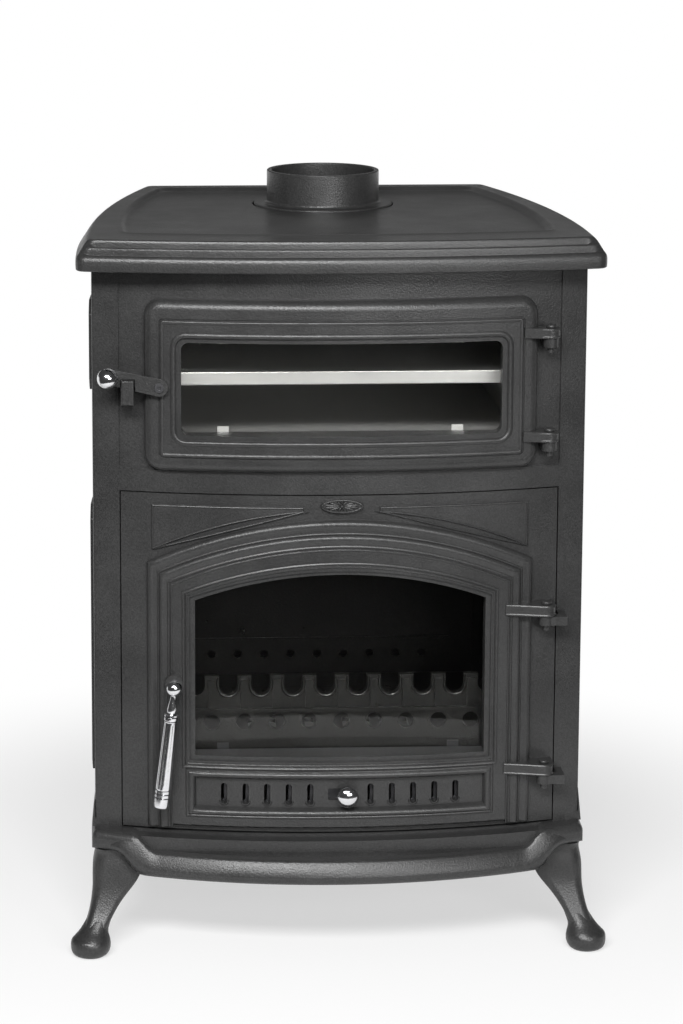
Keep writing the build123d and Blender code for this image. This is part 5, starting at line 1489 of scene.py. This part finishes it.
@dataclass(frozen=True)
class Firebox:
    """The lining of the fire, the grate, the ash pan and the log guard, whose notches have a raised rim."""

    middle_x: float = 6.0
    pitch: float = 40.2
    posts: int = 9
    post_w: float = 18.0
    post_top: float = 334.0
    notch_bottom: float = 311.0
    notch_steps: int = 16
    face_y: float = -180.0
    # distance from the notch's edge and height over the guard's face of each point across its rim
    rim: Profile = (
        (0.2, -1.0), (0.2, 1.2), (0.8, 2.5), (1.9, 3.0), (3.0, 2.5), (3.6, 1.2), (3.8, -1.0),
    )

    def _notch_rim(self, x: float) -> bmesh.types.BMesh:
        """Draw a raised rim down one post, round the notch and up the next.

        Args:
            x: Where the notch has its middle.

        Returns:
            The finished shell.
        """
        notch_r = (self.pitch - self.post_w) / 2
        centre = Vector((x, self.face_y, self.notch_bottom + notch_r))
        rows = [[Vector((x - notch_r - d, self.face_y - h, self.post_top)) * MM for d, h in self.rim]]
        for step in range(self.notch_steps + 1):
            turn = math.pi * step / self.notch_steps
            way = Vector((-math.cos(turn), 0.0, -math.sin(turn)))
            rows.append([(centre + way * (notch_r + d) - Vector((0.0, h, 0.0))) * MM for d, h in self.rim])
        rows.append([Vector((x + notch_r + d, self.face_y - h, self.post_top)) * MM for d, h in self.rim])
        return draw_shell(rows)

    def dress(self, bench: Bench) -> None:
        """Put the guard, the lining and the pan in place.

        Args:
            bench: Where pieces are made.
        """
        guard = bench.merged("log_guard", 0.7)
        half = self.posts // 2
        for number in range(-half, half):
            join_shell(guard, self._notch_rim(self.middle_x + (number + 0.5) * self.pitch))
        bench.finish(guard, "log_guard", Slot.RAW_IRON)
        bench.carry(Slot.RAW_IRON, 0.8, "side_liner_right", "side_liner_left", "rear_liner")
        bench.carry(Slot.RAW_IRON, 0.8, "hearth_plate", "fire_grate")
        bench.carry(Slot.RAW_IRON, 0.8, "hearth_support_right", "hearth_support_left")
        bench.carry(Slot.OVEN_STEEL, 0.3, "ash_pan")


@dataclass(frozen=True)
class Oven:
    """The oven box with its rails, and a brighter shelf."""

    round_mm: float = 0.4

    def dress(self, bench: Bench) -> None:
        """Put the oven in place."""
        bench.carry(Slot.OVEN_STEEL, self.round_mm, "oven_box", "shelf_rails")
        bench.carry(Slot.OVEN_STEEL, self.round_mm, "oven_shelf", material=bench.shelf_steel)


@dataclass(frozen=True)
class Casing:
    """The front frame on its bow, the side and back panels, and what clamps the castings together."""

    bow: Bow = CASING_BOW
    round_mm: float = 0.8
    panels: tuple[str, ...] = ("side_panel_right", "side_panel_left", "back_panel")
    bolts: tuple[str, ...] = ("collar_bolts", "tie_rods", "tie_rod_nuts", "leg_bolts", "keeper_screw")

    def dress(self, bench: Bench) -> None:
        """Put the casing and its fixings in place.

        Args:
            bench: Where pieces are made.
        """
        bench.carry(Slot.BLACK_IRON, self.round_mm, "front_frame", bow=self.bow)
        bench.carry(Slot.BLACK_IRON, self.round_mm, *self.panels, "latch_keeper")
        bench.carry(Slot.FASTENER_STEEL, 0.3, *self.bolts)


# ---- base and legs ----------------------------------------------------------------------------------------


@dataclass(frozen=True)
class BaseAndLegs:
    """The base casting with a half-round roll along its apron, and legs that end in a bulb."""

    bow: Bow = BASE_FRONT_BOW
    reach: float = 300.0  # the roll ends here
    fade_from: float = 255.0
    fade_depth: float = 9.0  # how far it has sunk into the casting there
    low: Triple = (243.0, 102.2, 128.2)  # half length, and height in the middle and over a leg
    high: Triple = (225.0, 133.0, 152.8)
    sweep: float = 30.0  # width of the S between the two heights
    stations: int = 90
    # share of the roll's height and how far it stands ahead of the casting
    roll: Profile = (
        (0.0, -14.0), (0.0, -6.0), (0.02, -1.6), (0.08, 2.4), (0.18, 4.9), (0.3, 5.9), (0.42, 5.5),
        (0.6, 3.3), (0.78, 0.4), (0.9, -1.9), (0.96, -3.6), (0.99, -6.4), (1.0, -14.0),
    )
    front_foot: Pair = (306.4, -41.0)  # middle of the right front bulb, Y from the casing's front corners
    rear_foot: Pair = (244.4, 470.0)
    around: int = 48
    # height and radius of each ring of the bulb, and how far it leans inwards and back up the ankle
    bulb: tuple[Quad, ...] = (
        (0.0, 14.5, 0.0, 0.0), (0.9, 17.6, 0.0, 0.0), (3.0, 20.6, 0.0, 0.0), (6.5, 23.0, 0.0, 0.0),
        (11.0, 24.4, 0.0, 0.0), (16.0, 24.5, 0.1, 0.1), (20.5, 23.2, 0.6, 0.8), (24.5, 20.9, 1.6, 2.0),
        (28.0, 18.6, 3.0, 4.0), (32.0, 17.0, 4.8, 6.4), (37.0, 16.0, 7.4, 9.2), (44.0, 15.0, 11.0, 13.4),
        (52.0, 13.2, 14.0, 17.6),
    )

    def _swept(self, line: Triple, x: float) -> float:
        """Height of an S line at x."""
        half, middle, outer = line
        return middle + (outer - middle) * eased(abs(x), half, half + self.sweep)

    def _roll(self) -> bmesh.types.BMesh:
        """Draw the roll of the apron from one corner to the other.

        Returns:
            The finished shell.
        """
        rows = []
        for station in range(self.stations + 1):
            x = self.reach * (2 * station / self.stations - 1)
            low, high = self._swept(self.low, x), self._swept(self.high, x)
            sunk = self.fade_depth * eased(abs(x), self.fade_from, self.reach)
            points = [(low + (high - low) * share, ahead - sunk) for share, ahead in self.roll]
            rows.append([self.bow.point(x, z, ahead) for z, ahead in points])
        return draw_shell(rows)

    def _bulb(self, x: float, y: float, back: float) -> bmesh.types.BMesh:
        """Draw the bulb under a leg, and its neck up the ankle.

        Args:
            x: Where the bulb has its middle.
            y: The same, from the casing's front corners.
            back: 1 under a front leg and -1 under a rear one.

        Returns:
            The finished shell.
        """
        inward = -math.copysign(1.0, x)
        rows = []
        for height, radius, lean, set_back in self.bulb:
            middle = Vector((x + inward * lean, y - CORNERS_AHEAD + back * set_back, height))
            row = []
            for turn in full_turn(self.around):
                row.append((middle + Vector((math.cos(turn), math.sin(turn), 0.0)) * radius) * MM)
            rows.append(row)
        return draw_shell(rows)

    def dress(self, bench: Bench) -> None:
        """Put the base and the legs in place.

        Args:
            bench: Where pieces are made.
        """
        base = bench.merged("base_plate", 0.8)
        join_shell(base, self._roll())
        bench.finish(base, "base_plate", Slot.BLACK_IRON, self.bow)
        for place, (x, y), back in (("front", self.front_foot, 1.0), ("rear", self.rear_foot, -1.0)):
            for hand, side in (("right", 1), ("left", -1)):
                leg = bench.merged(f"leg_{place}_{hand}", 0.8)
                join_shell(leg, self._bulb(side * x, y, back))
                bench.finish(leg, f"leg_{place}_{hand}", Slot.BLACK_IRON)


def main() -> None:
    """Load the frame, set up the room and dress every sub-assembly."""
    logging.basicConfig(level=logging.INFO, format="%(name)s %(message)s")
    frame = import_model()
    PhotoCamera().make()
    Studio().make()
    bench = Bench(frame)
    doors = (OvenDoor(), FireDoor(), DoorHandle(), AirControl())
    for sub_assembly in (TopPlate(), *doors, Firebox(), Oven(), Casing(), BaseAndLegs()):
        sub_assembly.dress(bench)
    bpy.context.scene.view_settings.view_transform = "Standard"


if __name__ == "__main__":
    main()
